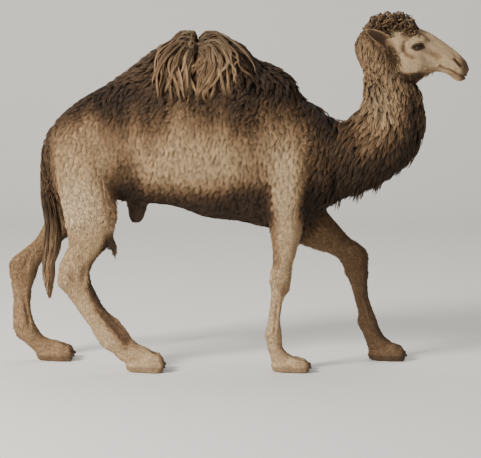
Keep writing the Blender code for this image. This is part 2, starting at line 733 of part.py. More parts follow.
# ---------------------------------------------------------------- the whole animal
def build():
    clear_scene()
    fawn = (0.520, 0.372, 0.220)
    wool = (0.180, 0.108, 0.058)
    pale = (0.640, 0.500, 0.330)
    horn = (0.130, 0.105, 0.085)
    body = make_body(material("coat_trunk", fawn, 0.85))
    body.name = "trunk"
    nodes = [body]

    nails = []
    for name, (rows, side) in LEGS.items():
        middle, instep = FEET[name]
        for toe, word in ((-1, "a"), (1, "b")):
            label = f"nail_{name}_{word}"
            look = material(label, horn, 0.45)
            nails.append(make_nail(label, middle, side, toe, instep, look))
    eyes = [
        make_eye("eye_right", RIGHT, material("eye_right", (0.020, 0.012, 0.008), 0.08)),
        make_eye("eye_left", LEFT, material("eye_left", (0.020, 0.012, 0.008), 0.08)),
    ]
    for piece in nails + eyes:
        larger = grown(piece, GAP)
        cut(body, larger)
        remove(larger)
    nodes += nails + eyes

    worn = [
        make_mop(material("hump_mop", (0.230, 0.140, 0.075), 0.9)),
        make_cap(material("hair_cap", (0.200, 0.122, 0.066), 0.9)),
        make_ear("ear_right", RIGHT, material("ear_right", (0.330, 0.215, 0.120), 0.85)),
        make_ear("ear_left", LEFT, material("ear_left", (0.330, 0.215, 0.120), 0.85)),
        make_tail(material("tail", (0.400, 0.275, 0.155), 0.85)),
        make_sheath(material("sheath", (0.280, 0.190, 0.115), 0.85)),
        make_chest_pad(material("chest_pad", horn, 0.7)),
    ]
    taken = grown(body, GAP)
    for piece in worn:
        cut(piece, taken)
        keep_largest(piece)
    remove(taken)
    cap, ears = worn[1], worn[2:4]
    for ear in ears:
        larger = grown(ear, GAP)
        cut(cap, larger)
        keep_largest(cap)
        remove(larger)
    nodes += worn

    head = carve(body, "head", block("head_block", HEAD_CUT, -OUTSIDE, OUTSIDE))
    jaw = carve(head, "lower_jaw", block("jaw_block", JAW_CUT, -OUTSIDE, OUTSIDE))
    neck = carve(body, "neck_lower", block("neck_block", NECK_CUT, -OUTSIDE, OUTSIDE))
    nape = carve(neck, "neck_upper", block("nape_block", NAPE_CUT, -OUTSIDE, OUTSIDE))
    hump = carve(body, "hump", block("hump_block", HUMP_CUT, -OUTSIDE, OUTSIDE))
    looks = [(head, pale), (jaw, pale), (neck, wool), (nape, fawn), (hump, wool)]
    for name, side, rise, outline in LIMB_CUTS:
        limb = carve(body, name, limb_block(name, side, rise, outline))
        looks.append((limb, pale if side == RIGHT else fawn))
    tail = worn[4]
    below = [(-1.5, TASSEL_TOP), (-0.9, TASSEL_TOP), (-0.9, 0.2), (-1.5, 0.2)]
    tassel = carve(tail, "tail_tassel", block("tassel_block", below, -OUTSIDE, OUTSIDE))
    looks.append((tassel, (0.090, 0.055, 0.032)))
    for piece, colour in looks:
        piece.data.materials.clear()
        piece.data.materials.append(material(piece.name, colour, 0.85))
        nodes.append(piece)
    centre(nodes)


def centre(nodes):
    """Moves the meshes so that the middle of the underside of the whole is the origin."""
    corners = np.array([v.co for node in nodes for v in node.data.vertices])
    low, high = corners.min(axis=0), corners.max(axis=0)
    shift = Matrix.Translation((-(low[0] + high[0]) / 2, -(low[1] + high[1]) / 2, -low[2]))
    for node in set(nodes):
        node.data.transform(shift)


build()
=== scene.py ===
# %% [markdown]
# # A dromedary in its winter coat
#
# A solid model of a camel bull already says where each part of the animal is, and how far
# the tips of its coat reach. This notebook dresses it: one skin without a seam, a coat of
# solid tufts and locks that follow the lie of the hair, eyes with lids and lashes, and nails.

# %% The frame
import json
import math

import bmesh
import bpy
import numpy as np
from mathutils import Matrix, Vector
from mathutils.bvhtree import BVHTree
from mathutils.kdtree import KDTree

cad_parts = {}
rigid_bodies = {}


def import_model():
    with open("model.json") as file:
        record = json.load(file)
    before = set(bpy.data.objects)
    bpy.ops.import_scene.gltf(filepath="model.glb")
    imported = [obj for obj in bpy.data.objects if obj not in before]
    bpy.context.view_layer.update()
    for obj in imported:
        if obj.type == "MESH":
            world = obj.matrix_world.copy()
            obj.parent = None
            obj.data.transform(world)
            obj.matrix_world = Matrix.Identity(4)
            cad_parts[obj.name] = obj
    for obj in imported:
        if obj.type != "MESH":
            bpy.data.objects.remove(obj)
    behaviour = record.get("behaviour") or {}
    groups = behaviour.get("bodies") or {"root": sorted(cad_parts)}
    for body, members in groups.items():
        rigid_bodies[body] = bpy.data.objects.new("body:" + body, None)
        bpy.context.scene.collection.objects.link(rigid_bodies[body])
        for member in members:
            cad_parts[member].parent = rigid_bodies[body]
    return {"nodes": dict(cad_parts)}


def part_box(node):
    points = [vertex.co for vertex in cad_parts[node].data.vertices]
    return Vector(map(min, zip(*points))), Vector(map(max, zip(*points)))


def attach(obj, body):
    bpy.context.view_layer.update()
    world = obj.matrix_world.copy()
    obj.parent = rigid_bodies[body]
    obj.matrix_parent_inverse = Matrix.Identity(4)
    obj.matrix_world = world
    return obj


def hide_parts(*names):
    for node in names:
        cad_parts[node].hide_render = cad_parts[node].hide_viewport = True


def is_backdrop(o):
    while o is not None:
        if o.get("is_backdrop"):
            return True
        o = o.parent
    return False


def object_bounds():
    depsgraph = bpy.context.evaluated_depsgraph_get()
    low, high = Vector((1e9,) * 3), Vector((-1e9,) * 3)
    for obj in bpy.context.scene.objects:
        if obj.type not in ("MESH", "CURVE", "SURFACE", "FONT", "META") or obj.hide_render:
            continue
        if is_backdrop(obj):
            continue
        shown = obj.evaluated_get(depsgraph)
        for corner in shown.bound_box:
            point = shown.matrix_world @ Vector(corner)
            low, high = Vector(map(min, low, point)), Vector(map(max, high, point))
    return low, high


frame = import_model()
cad_low, cad_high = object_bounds()
RIGHT, LEFT = -1, 1
print("solid model, metres:", [round(v, 3) for v in cad_high - cad_low])

# %% [markdown]
# ## Studio
#
# A museum would light such an animal from one side with a large soft lamp, and soften the
# shadows with light from all round. The camera stands far off with a long lens, so that the
# legs on both sides are drawn at nearly the same size. The floor curves up behind the animal
# into a backdrop, which leaves no horizon line.

# %% Camera and lamps
length = cad_high.x - cad_low.x


def aim(obj, place, target):
    """Puts a camera or lamp at a place and turns it to its target."""
    obj.location = place
    obj.rotation_euler = (Vector(target) - Vector(place)).to_track_quat("-Z", "Y").to_euler()
    bpy.context.scene.collection.objects.link(obj)


def lamp(name, place, size, watts, colour):
    """A soft square lamp of this size that faces the middle of the stage."""
    light = bpy.data.lights.new(name, "AREA")
    light.size = size
    light.energy = watts
    light.color = colour
    aim(bpy.data.objects.new(name, light), place, (0.0, 0.0, 1.0))


camera_distance = 14.0
camera_height = math.radians(7.4)
view_width = length * 1.036  # at the animal, with a narrow margin at both ends
target = Vector((0.024, 0.0, 0.867))
camera = bpy.data.cameras.new("camera")
camera.lens = camera.sensor_width * camera_distance / view_width
viewer = bpy.data.objects.new("camera", camera)
back = Vector((0.0, -math.cos(camera_height), math.sin(camera_height)))
aim(viewer, target + back * camera_distance, target)
bpy.context.scene.camera = viewer

lamp("key", (-7.0, -5.5, 6.0), 2.4, 1500.0, (1.0, 0.965, 0.91))
lamp("fill", (7.0, -6.0, 3.0), 6.0, 70.0, (0.93, 0.96, 1.0))
lamp("top", (0.5, 3.0, 7.5), 5.0, 200.0, (1.0, 0.98, 0.95))
world = bpy.data.worlds.new("studio")
world.use_nodes = True
daylight = world.node_tree.nodes["Background"].inputs
daylight["Color"].default_value = (0.93, 0.93, 0.92, 1.0)
daylight["Strength"].default_value = 0.42
bpy.context.scene.world = world
print("camera lens, mm:", round(camera.lens, 1))


# %% The floor
def link(name, mesh):
    """An object in the scene that holds this mesh."""
    made = bpy.data.objects.new(name, mesh)
    bpy.context.scene.collection.objects.link(made)
    return made


def shade_smooth(obj):
    obj.data.polygons.foreach_set("use_smooth", np.ones(len(obj.data.polygons), bool))


def sweep(width, front, bend, top, radius=2.0, steps=12):
    """A floor that curves up into a wall, as rows of points across it."""
    profile = [(front, 0.0)]
    for i in range(steps + 1):
        turn = i / steps * math.pi / 2
        profile.append((bend + radius * math.sin(turn), radius * (1.0 - math.cos(turn))))
    profile.append((bend + radius, top))
    bm = bmesh.new()
    rows = [[bm.verts.new((x, y, z)) for x in (-width, width)] for y, z in profile]
    for a, b in zip(rows, rows[1:]):
        bm.faces.new((a[0], a[1], b[1], b[0]))
    mesh = bpy.data.meshes.new("floor")
    bm.to_mesh(mesh)
    bm.free()
    return link("floor", mesh)


floor = sweep(width=16.0, front=-18.0, bend=7.0, top=9.0)
shade_smooth(floor)
floor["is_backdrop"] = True
print("floor faces:", len(floor.data.polygons))

# %% [markdown]
# ## Formulas for materials
#
# A material is a tree of nodes. Sums are easier to read as formulas, so this small class
# wraps one socket of a tree and lets + - * / and ** add the Math nodes. Colours and vectors
# go through Vector Math and Mix nodes instead, because a Math node would turn them grey.

# %% The formula class
class Formula:
    def __init__(self, tree, socket):
        self.tree, self.socket = tree, socket

    def node(self, kind, settings=None, inputs=None, output=0):
        """Adds any node: its type, its settings, then the values or formulas it takes."""
        made = self.tree.nodes.new(kind)
        for name, value in (settings or {}).items():
            if name == "stops":
                set_stops(made.color_ramp.elements, value)
            else:
                setattr(made, name, value)
        for name, value in (inputs or {}).items():
            self.feed(made.inputs[name], value)
        return Formula(self.tree, made.outputs[output])

    def feed(self, socket, value):
        """Links a formula to a socket, or writes a plain value into it."""
        if isinstance(value, Formula):
            self.tree.links.new(value.socket, socket)
        else:
            socket.default_value = value

    def is_vector(self):
        return self.socket.type in ("VECTOR", "RGBA")

    def math(self, operation, left, right):
        """One Math node, or one Vector Math node where a colour or vector takes part."""
        both = [v for v in (left, right) if isinstance(v, Formula)]
        if any(v.is_vector() for v in both):
            pair = [v if isinstance(v, (Formula, tuple)) else (v, v, v) for v in (left, right)]
            kind = "ShaderNodeVectorMath"
        else:
            pair = [left, right]
            kind = "ShaderNodeMath"
        return self.node(kind, {"operation": operation}, {0: pair[0], 1: pair[1]})

    def __add__(self, other):
        return self.math("ADD", self, other)

    def __sub__(self, other):
        return self.math("SUBTRACT", self, other)

    def __rsub__(self, other):
        return self.math("SUBTRACT", other, self)

    def __mul__(self, other):
        return self.math("MULTIPLY", self, other)

    __radd__, __rmul__ = __add__, __mul__  # here the order makes no difference

    def __truediv__(self, other):
        return self.math("DIVIDE", self, other)

    def __rtruediv__(self, other):
        return self.math("DIVIDE", other, self)

    def __pow__(self, other):
        return self.math("POWER", self, other)

    def dot(self, other):
        return self.node("ShaderNodeVectorMath", {"operation": "DOT_PRODUCT"}, {0: self, 1: other}, 1)

    def mix(self, first, second):
        """This formula as the share of the second colour in the mix."""
        made = self.tree.nodes.new("ShaderNodeMix")
        made.data_type = "RGBA"
        by_name = {socket.identifier: socket for socket in made.inputs}
        self.feed(by_name["Factor_Float"], self)
        self.feed(by_name["A_Color"], first)
        self.feed(by_name["B_Color"], second)
        result = [socket for socket in made.outputs if socket.identifier == "Result_Color"]
        return Formula(self.tree, result[0])


def set_stops(elements, stops):
    """Gives a colour ramp its stops, each a place and a colour."""
    while len(elements) < len(stops):
        elements.new(0.5)
    for element, (place, colour) in zip(elements, stops):
        element.position = place
        element.color = (*colour, 1.0)


def finish(name, colour, roughness, **constants):
    """A new material, and a formula for each of its shader's places in the tree."""
    made = bpy.data.materials.new(name)
    made.use_nodes = True
    shader = made.node_tree.nodes["Principled BSDF"]
    shader.inputs["Base Color"].default_value = (*colour, 1.0)
    shader.inputs["Roughness"].default_value = roughness
    for socket, value in constants.items():
        shader.inputs[socket.replace("_", " ")].default_value = value
    return made, shader, Formula(made.node_tree, shader.outputs[0])

# %% [markdown]
# ## The floor's finish
#
# The floor is pale and almost even, with a slow change of tone. Seen from outside it is clear,
# so that the backdrop hides nothing from a camera that stands behind it.

# %% Floor finish
BACK_FACE = 6  # the output of Geometry that tells a face's back from its front
OBJECT = 3  # the output of Texture Coordinate that gives places on the object
floor_finish, floor_shader, start = finish("studio_floor", (0.80, 0.785, 0.75), 0.9)
grain = start.node("ShaderNodeTexNoise", {}, {"Scale": 3.0, "Detail": 4.0})
pale_floor = (0.79, 0.775, 0.74, 1.0)
start.feed(floor_shader.inputs["Base Color"], grain.mix(pale_floor, (0.83, 0.815, 0.78, 1.0)))
from_outside = start.node("ShaderNodeNewGeometry", output=BACK_FACE)
clear = start.node("ShaderNodeBsdfTransparent")
one_sided = start.node("ShaderNodeMixShader", {}, {0: from_outside, 1: start, 2: clear})
start.feed(floor_finish.node_tree.nodes["Material Output"].inputs["Surface"], one_sided)
floor.data.materials.append(floor_finish)
print("nodes in the floor's finish:", len(floor_finish.node_tree.nodes))

# %% [markdown]
# ## One skin
#
# The solid model comes in parts, with a thin cut at each joint, and its flesh has no ears
# that look like ears. The skin has to be one closed surface. A voxel remesh lays a single
# skin round all the parts at once and closes the cuts, as shrink-wrapping would, but without
# leaving gaps where limbs meet the trunk. It also leaves the flat facets of the solids, which
# the next cells smooth out.

# %% The parts of flesh, wrapped in one skin
NOT_FLESH = ("eye", "nail", "ear", "hair_cap", "hump_mop", "tail_tassel")
WELD = 1e-5  # corners of the solid parts as near as this are one corner
flesh = [name for name in sorted(frame["nodes"]) if not name.startswith(NOT_FLESH)]
ears = ["ear_right", "ear_left"]
skin_grain = 0.0160  # size of the skin's faces on the body


def settled(obj):
    """Applies the object's modifiers, which leaves a plain mesh."""
    graph = bpy.context.evaluated_depsgraph_get()
    mesh = bpy.data.meshes.new_from_object(obj.evaluated_get(graph))
    obj.modifiers.clear()
    obj.data = mesh
    return obj


def wrapped(names, grain):
    """One closed surface round all the parts with these names."""
    bm = bmesh.new()
    for name in names:
        bm.from_mesh(frame["nodes"][name].data)
    bmesh.ops.remove_doubles(bm, verts=bm.verts, dist=WELD)
    mesh = bpy.data.meshes.new("skin")
    bm.to_mesh(mesh)
    bm.free()
    obj = link("skin", mesh)
    remesh = obj.modifiers.new("wrap", "REMESH")
    remesh.mode = "VOXEL"
    remesh.voxel_size = grain
    return settled(obj)


set_in_flesh = [name for name in sorted(frame["nodes"]) if name.startswith(("eye", "nail"))]
skin = wrapped(flesh + set_in_flesh, skin_grain)
print("skin faces:", len(skin.data.polygons))

# %% [markdown]
# ## Working on the skin with numbers
#
# Sculpting by hand can't be written down, but moving points by rule can. This class holds
# the skin as arrays, finds each point's neighbours and normal, and averages any quantity over
# the neighbours. That one average smooths the surface, and later spreads colours and coat
# lengths softly from one part of the body to the next.

# %% The surface class
class Surface:
    def __init__(self, obj):
        self.obj = obj
        mesh = obj.data
        self.count = len(mesh.vertices)
        self.points = np.empty((self.count, 3), np.float32)
        mesh.vertices.foreach_get("co", self.points.ravel())
        self.points = self.points.astype(float)
        edges = np.empty((len(mesh.edges), 2), np.int32)
        mesh.edges.foreach_get("vertices", edges.ravel())
        self.a, self.b = edges.T
        self.valence = np.bincount(edges.ravel(), minlength=self.count)

    def average(self, values):
        """The mean of each point's neighbours."""
        columns = values.reshape(self.count, -1).T
        sums = [
            np.bincount(self.a, column[self.b], self.count)
            + np.bincount(self.b, column[self.a], self.count)
            for column in columns
        ]
        return (np.array(sums) / self.valence).T.reshape(values.shape)

    def spread(self, values, rounds):
        """Blurs values over the skin."""
        for _ in range(rounds):
            values = 0.5 * values + 0.5 * self.average(values)
        return values

    def smooth(self, rounds, share):
        """Evens out the surface without shrinking it, each point by its share."""
        for _ in range(rounds):
            for step in (0.5, -0.515):  # a step in, then a slightly longer one out
                move = self.average(self.points) - self.points
                self.points += step * share[:, None] * move

    def normals(self):
        """Writes the points back to the mesh, and reads its normals."""
        mesh = self.obj.data
        mesh.vertices.foreach_set("co", self.points.astype(np.float32).ravel())
        mesh.update()
        found = np.empty((self.count, 3), np.float32)
        mesh.vertex_normals.foreach_get("vector", found.ravel())
        return found.astype(float)


def ramp(value, start, end):
    """0 before start, 1 after end, and a soft step between them, which may run downwards."""
    share = np.clip((value - start) / (end - start), 0.0, 1.0)
    return share * share * (3.0 - 2.0 * share)

# %% [markdown]
# ## Coat regions
#
# The hair isn't the same all over: a finger's width on the flank, a hand's length on the
# neck, next to nothing on the face and feet. Each region of the coat is a row of a table,
# with the parts of the solid model that it covers. Every point of the skin takes the region
# of the nearest part, and then the regions are blurred into each other over the skin, so that
# lengths, colours and directions change softly.

# %% The table of regions
# Depth is how far the tips stand above the skin, length is one tuft's, and lie is where it
# points, along the body and down. Wool is the share of long curly hair, and darkness runs from
# cream at 0 to nearly black at 1.
REGIONS = {
    # parts: depth, length, lie x, lie z, wool, darkness
    ("trunk", "chest_pad"): (0.016, 0.050, -0.50, -0.90, 0.0, 0.34),
    ("sheath",): (0.005, 0.022, -0.40, -0.90, 0.0, 0.66),
    ("hump",): (0.026, 0.085, -0.25, -0.90, 1.0, 0.88),
    ("neck_lower",): (0.032, 0.125, -0.30, -1.00, 1.0, 0.76),
    ("neck_upper",): (0.022, 0.105, -0.10, -1.00, 0.9, 0.47),
    ("head", "lower_jaw"): (0.0028, 0.021, -0.90, -0.35, 0.0, 0.10),
    ("hind_right_thigh", "hind_left_thigh"): (0.011, 0.042, -0.15, -1.0, 0.0, 0.16),
    ("hind_right_shank", "hind_left_shank"): (0.007, 0.032, -0.10, -1.0, 0.0, 0.24),
    ("fore_right_forearm", "fore_left_forearm"): (0.007, 0.032, -0.05, -1.0, 0.0, 0.16),
    ("hind_right_cannon", "hind_left_cannon"): (0.0032, 0.024, -0.05, -1.0, 0.0, 0.22),
    ("fore_right_cannon", "fore_left_cannon"): (0.0032, 0.024, -0.05, -1.0, 0.0, 0.22),
    ("_foot",): (0.0024, 0.018, 0.30, -1.0, 0.0, 0.26),
    ("tail",): (0.010, 0.060, 0.0, -1.0, 0.8, 0.80),
    ("ear_right", "ear_left"): (0.003, 0.020, -0.8, 0.45, 0.0, 0.50),
}
table = np.array(list(REGIONS.values()))
DEPTH, LENGTH, LIE_X, LIE_Z, WOOL, DARKNESS = range(6)  # the table's columns


def region_tree():
    """A tree that finds the nearest part of the solid model, and the region of each face."""
    corners, faces, rows = [], [], []
    for row, names in enumerate(REGIONS):
        for name in flesh + ears:
            if not (name in names or (names[0][0] == "_" and name.endswith(names[0]))):
                continue
            mesh = frame["nodes"][name].data
            start = len(corners)
            corners += [v.co for v in mesh.vertices]
            faces += [[start + i for i in face.vertices] for face in mesh.polygons]
            rows += [row] * len(mesh.polygons)
    return BVHTree.FromPolygons(corners, faces), rows


parts_tree, rows_of_faces = region_tree()
print("regions of the coat:", len(REGIONS))


def regions_of(points):
    """The row of the table that each point belongs to."""
    return np.array([rows_of_faces[parts_tree.find_nearest(p)[2]] for p in points])


def row_of(name):
    """The row of the table whose first part has this name."""
    return [names[0] for names in REGIONS].index(name)

# %% [markdown]
# ## Finer faces where forms are small
#
# The face and the lower legs have small forms, so their faces are split into four, the head's
# twice, and those round the eyes once more. The trunk stays coarse, as wool hides it.

# %% Refining the skin
HEAD_ROWS = [row_of("head")]
LEG_ROWS = [i for i, names in enumerate(REGIONS) if names[0].endswith(("cannon", "_foot"))]


def refine(obj, wanted):
    """Splits each face inside the wanted region into four."""
    bm = bmesh.new()
    bm.from_mesh(obj.data)
    inside = {v for v in bm.verts if wanted(v.co)}
    edges = [e for e in bm.edges if e.verts[0] in inside and e.verts[1] in inside]
    bmesh.ops.subdivide_edges(bm, edges=edges, cuts=1, use_grid_fill=True)
    bm.to_mesh(obj.data)
    bm.free()


def in_rows(rows):
    """A test of whether a place belongs to one of these rows of the table."""
    return lambda p: rows_of_faces[parts_tree.find_nearest(p)[2]] in rows


refine(skin, in_rows(HEAD_ROWS + LEG_ROWS))
refine(skin, in_rows(HEAD_ROWS))
eye_boxes = {RIGHT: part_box("eye_right"), LEFT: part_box("eye_left")}
eyes = {side: (low + high) / 2 for side, (low, high) in eye_boxes.items()}
eye_size = (eye_boxes[LEFT][1].z - eye_boxes[LEFT][0].z) / 2
round_eye = 1.9 * eye_size  # how far the finest faces reach
refine(skin, lambda p: min((p - eye).length for eye in eyes.values()) < round_eye)
surface = Surface(skin)
region = regions_of(surface.points)
shares = surface.spread(np.eye(len(table))[region], rounds=36)
print("skin faces after refining:", len(skin.data.polygons))
print("points in each region:", np.bincount(region).tolist())

# %% [markdown]
# ## From solids to flesh
#
# First the facets are smoothed away, most on the trunk and neck, where they are as large as a
# hand, and least on the head, whose small forms must stay. Then the skin sinks by the depth
# of the coat that will cover it, so that the tips of the hair come out where the solid model
# says the animal ends.

# %% Smoothing and sinking the skin
x, y, z = surface.points.T
on_head = ramp(x, 0.86, 0.98) * ramp(z, 1.70, 1.80)
on_limb = ramp(z, 1.00, 0.86) * ramp(abs(y), 0.05, 0.10)
surface.smooth(rounds=55, share=np.clip(1.0 - 0.86 * on_head - 0.72 * on_limb, 0.0, 1.0))
depth = shares @ table[:, DEPTH]
mop_low, mop_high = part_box("hump_mop")
mop_middle = (mop_low + mop_high) / 2
x, y, z = surface.points.T
from_mop = np.hypot((x - mop_middle.x) / 0.20, y / 0.24)
depth += 0.030 * ramp(from_mop, 1.05, 0.70) * ramp(z, 1.75, 1.90)
depth = surface.spread(depth, rounds=8) * ramp(z, 0.004, 0.030)
surface.points -= surface.normals() * depth[:, None]
print("depth of coat, mm:", round(1000 * depth.min(), 1), "to", round(1000 * depth.max(), 1))

# %% [markdown]
# ## Evening out the beard and brow
#
# On the solid model the points of the beard and the brow are lumps of flesh. The beard is locks
# of its own later, so each point of the skin there is drawn to the middle of its neighbours
# until the lumps are gone. The brow takes a few rounds of the same.

# %% Evening out
BEARD_X = (0.72, 0.92, 1.04)  # the line along the roots of the beard, in the side view
BEARD_Z = (1.03, 1.11, 1.21)
BROW = (1.105, 0.092, 2.062)  # the middle of the brow, on either side
x, y, z = surface.points.T
from_beard = np.hypot(x - np.clip(x, BEARD_X[0], BEARD_X[-1]), z - np.interp(x, BEARD_X, BEARD_Z))
from_brow = np.linalg.norm(np.stack([x, abs(y), z], axis=1) - BROW, axis=1)
even = 0.9 * ramp(from_beard, 0.15, 0.09) * ramp(abs(y), 0.15, 0.10)
even += 0.7 * ramp(from_brow, 0.075, 0.040)
brow_rounds, beard_rounds, behind_head = 10, 110, 1.06
for i in range(beard_rounds):
    share = even * (1.0 if i < brow_rounds else x < behind_head)
    surface.points += share[:, None] * (surface.average(surface.points) - surface.points)
surface.smooth(rounds=45, share=0.9 * ramp(surface.points[:, 0], 1.31, 1.38))
print("points evened out:", int((even > 0).sum()))

# %% [markdown]
# ## A round muzzle
#
# The muzzle of the solid model is nearly a box. Slabs across it give its width and height from
# the face to the lips, and a point near a corner of that box is drawn inwards until the
# section is round. The front is drawn back at the sides, so that the lips are round from above
# too. Last, nothing may lie under the floor.

# %% Rounding the muzzle
x, y, z = surface.points.T
steps = np.linspace(1.28, x.max() - 0.006, 12)
slabs = [abs(x - step) < 0.008 for step in steps]
z_low = np.interp(x, steps, [z[slab].min() for slab in slabs])
z_high = np.interp(x, steps, [z[slab].max() for slab in slabs])
y_high = np.interp(x, steps, [y[slab].max() for slab in slabs])
z_middle, half_height = (z_low + z_high) / 2, (z_high - z_low) / 2
across = abs(y) / y_high
level = (z - z_middle) / half_height
corner = np.maximum(across, abs(level)) / np.maximum(np.hypot(across, level), 1e-6)
rounded_off = 1.0 + ramp(x, 1.29, 1.37) * (corner**0.75 - 1.0)
surface.points[:, 1] *= rounded_off
surface.points[:, 2] = z_middle + (z - z_middle) * rounded_off
surface.points[:, 0] -= 0.024 * across**2 * ramp(x, 1.37, 1.43)
surface.points[:, 2] = np.maximum(surface.points[:, 2], 0.0)
print("muzzle, mm wide and high:", round(2000 * y_high.max()), round(2000 * half_height.max()))

# %% [markdown]
# ## Tools for modelling
#
# The small forms of the head and legs are swellings and creases. A swelling moves the points
# inside an ellipsoid along their normals, and a crease presses a line into the skin and may
# raise lips on both sides of it. Both work on the two sides of the body at once, unless they
# are told one. A pull shifts the points inside an ellipsoid all the same way.

# %% Swelling, crease and pull
def swell(x, y, z, radii, amount, lean=0.0, sides=(RIGHT, LEFT)):
    """Raises the skin round a place, or sinks it where amount is below zero."""
    normals = surface.normals()
    turn = math.radians(lean)
    for side in sides:
        dx, dy, dz = (surface.points - (x, side * y, z)).T
        along = dx * math.cos(turn) + dz * math.sin(turn)
        up = dz * math.cos(turn) - dx * math.sin(turn)
        reach = (along / radii[0]) ** 2 + (dy / radii[1]) ** 2 + (up / radii[2]) ** 2
        share = np.clip(1.0 - reach, 0.0, 1.0) ** 2
        surface.points += normals * (amount * share)[:, None]


def from_path(points, path):
    """Distance in the side view from each point to a bent line, and the share along it."""
    best = np.full(len(points), 1e9)
    share = np.zeros(len(points))
    flat = points[:, [0, 2]]
    path = np.array(path, float)
    for i, (a, b) in enumerate(zip(path, path[1:])):
        t = np.clip((flat - a) @ (b - a) / ((b - a) @ (b - a)), 0.0, 1.0)
        gap = np.linalg.norm(flat - a - t[:, None] * (b - a), axis=1)
        nearer = gap < best
        best[nearer] = gap[nearer]
        share[nearer] = (i + t[nearer]) / (len(path) - 1)
    return best, share


def crease(path, width, deep, lips=0.0, low=0.0, high=1.0, fade=0.0, sides=(RIGHT, LEFT)):
    """Presses a line into the skin where the distance from the mid plane is low to high."""
    normals = surface.normals()
    gap, share = from_path(surface.points, path)
    ends = np.ones(len(gap))
    if fade:
        ends = ramp(share, -0.01, fade) * ramp(share, 1.01, 1.0 - fade)
    out = np.zeros(len(gap), bool)
    for side in sides:
        away = side * surface.points[:, 1]
        out |= (away >= low) & (away <= high)
    groove = np.exp(-((gap / width) ** 2))
    rim = np.exp(-(((gap - 2.0 * width) / width) ** 2))
    surface.points += normals * ((lips * rim - deep * groove) * ends * out)[:, None]


def pull(place, radii, move):
    """Shifts the skin inside an ellipsoid by a distance, most at its middle."""
    reach = (((surface.points - place) / radii) ** 2).sum(axis=1)
    surface.points += np.clip(1.0 - reach, 0.0, 1.0)[:, None] ** 2 * np.array(move)

# %% [markdown]
# ## The head
#
# What makes a camel's face is small: a heavy brow over a half-closed eye, a hollow along the
# cheek, slit nostrils, a cleft upper lip that overhangs the lower one. The swellings are rows of
# a table, from the eye forwards. Those with an amount below zero are hollows.

# %% Forms of the head
HEAD_FORMS = (
    # middle of the form, its half sizes, amount, lean in degrees
    ("brow", (1.116, 0.070, 2.062), (0.078, 0.062, 0.032), 0.009, 4),
    ("round the eye", (1.116, 0.080, 2.008), (0.090, 0.055, 0.062), 0.014, 0),
    ("temple", (1.035, 0.092, 2.020), (0.030, 0.035, 0.060), -0.007, -20),
    ("over the temple", (1.010, 0.095, 2.070), (0.060, 0.045, 0.035), 0.006, 0),
    ("cheekbone", (1.085, 0.094, 1.950), (0.110, 0.040, 0.026), 0.008, -14),
    ("hollow of the face", (1.240, 0.062, 1.948), (0.075, 0.040, 0.022), -0.010, -27),
    ("side of the nose bone", (1.215, 0.050, 2.010), (0.120, 0.040, 0.024), 0.005, -32),
    ("chewing muscle", (1.020, 0.095, 1.880), (0.110, 0.050, 0.085), 0.003, -20),
    ("before the chewing muscle", (1.180, 0.060, 1.868), (0.070, 0.040, 0.030), -0.005, 0),
    ("upper lip", (1.300, 0.055, 1.900), (0.060, 0.040, 0.030), 0.007, -20),
    ("rim over the nostril", (1.372, 0.048, 1.925), (0.044, 0.030, 0.018), 0.008, -38),
    ("under the nostril", (1.352, 0.045, 1.878), (0.040, 0.030, 0.022), 0.006, -30),
    ("lower lip", (1.340, 0.040, 1.830), (0.050, 0.030, 0.020), 0.005, -20),
)
for _, (x_at, y_at, z_at), half_sizes, amount, lean in HEAD_FORMS:
    swell(x_at, y_at, z_at, half_sizes, amount, lean)
pull((1.375, 0.0, 1.818), (0.070, 0.070, 0.034), (0.004, 0.0, -0.018))  # the lower lip hangs
print("forms of the head:", len(HEAD_FORMS))

# %% Nostrils, mouth and folds
NOSTRIL = [(1.338, 1.934), (1.356, 1.918), (1.376, 1.895), (1.400, 1.874)]
MOUTH = [(1.255, 1.892), (1.276, 1.879), (1.300, 1.870), (1.330, 1.862), (1.362, 1.842)]
MOUTH += [(1.400, 1.822), (1.460, 1.806)]
MOUTH_CORNER = [(1.262, 1.896), (1.250, 1.884), (1.246, 1.868)]
crease(NOSTRIL, 0.0060, 0.016, lips=0.004, low=0.012, high=0.08, fade=0.25)
crease(MOUTH, 0.0050, 0.010, lips=0.003)
crease(MOUTH_CORNER, 0.006, 0.004, 0.002, fade=0.3)
x, y, z = surface.points.T
cleft = ramp(x, 1.385, 1.41) * np.exp(-((y / 0.005) ** 2))
cleft *= ramp(z, 1.815, 1.835) * ramp(z, 1.905, 1.885)
surface.points -= surface.normals() * (0.008 * cleft)[:, None]
for i in range(4):  # fine folds over the upper lip
    start_x = 1.285 + 0.022 * i
    fold = [(start_x, 1.905 - 0.006 * i), (start_x + 0.010, 1.885 - 0.006 * i)]
    crease(fold, 0.0045, 0.0022, 0.001, fade=0.4)
print("points in the cleft lip:", int((cleft > 0.1).sum()))

# %% [markdown]
# ## Knees, hocks and feet
#
# A leg is bone and tendon with little flesh, so every joint shows. The places of the joints
# come from the solid model: a joint is where one part of the leg meets the next. A camel's
# foot has two toes on one broad pad, so a cleft divides it in front, and a groove all round
# divides the hairy foot from the horny sole.

# %% Joints of each leg
def top_of(name):
    """The middle of the upper end of a part."""
    mesh = frame["nodes"][name].data
    points = np.array([v.co for v in mesh.vertices])
    return points[points[:, 2] > points[:, 2].max() - 0.045].mean(axis=0)


def leg(place, word):
    """The joints of a leg from the top, and its toe."""
    upper = "forearm" if place == "fore" else "shank"
    names = [f"{place}_{word}_{part}" for part in (upper, "cannon", "foot")]
    low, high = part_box(names[2])
    toe = np.array((high.x, (low.y + high.y) / 2, 0.03))
    return *(top_of(name) for name in names), toe


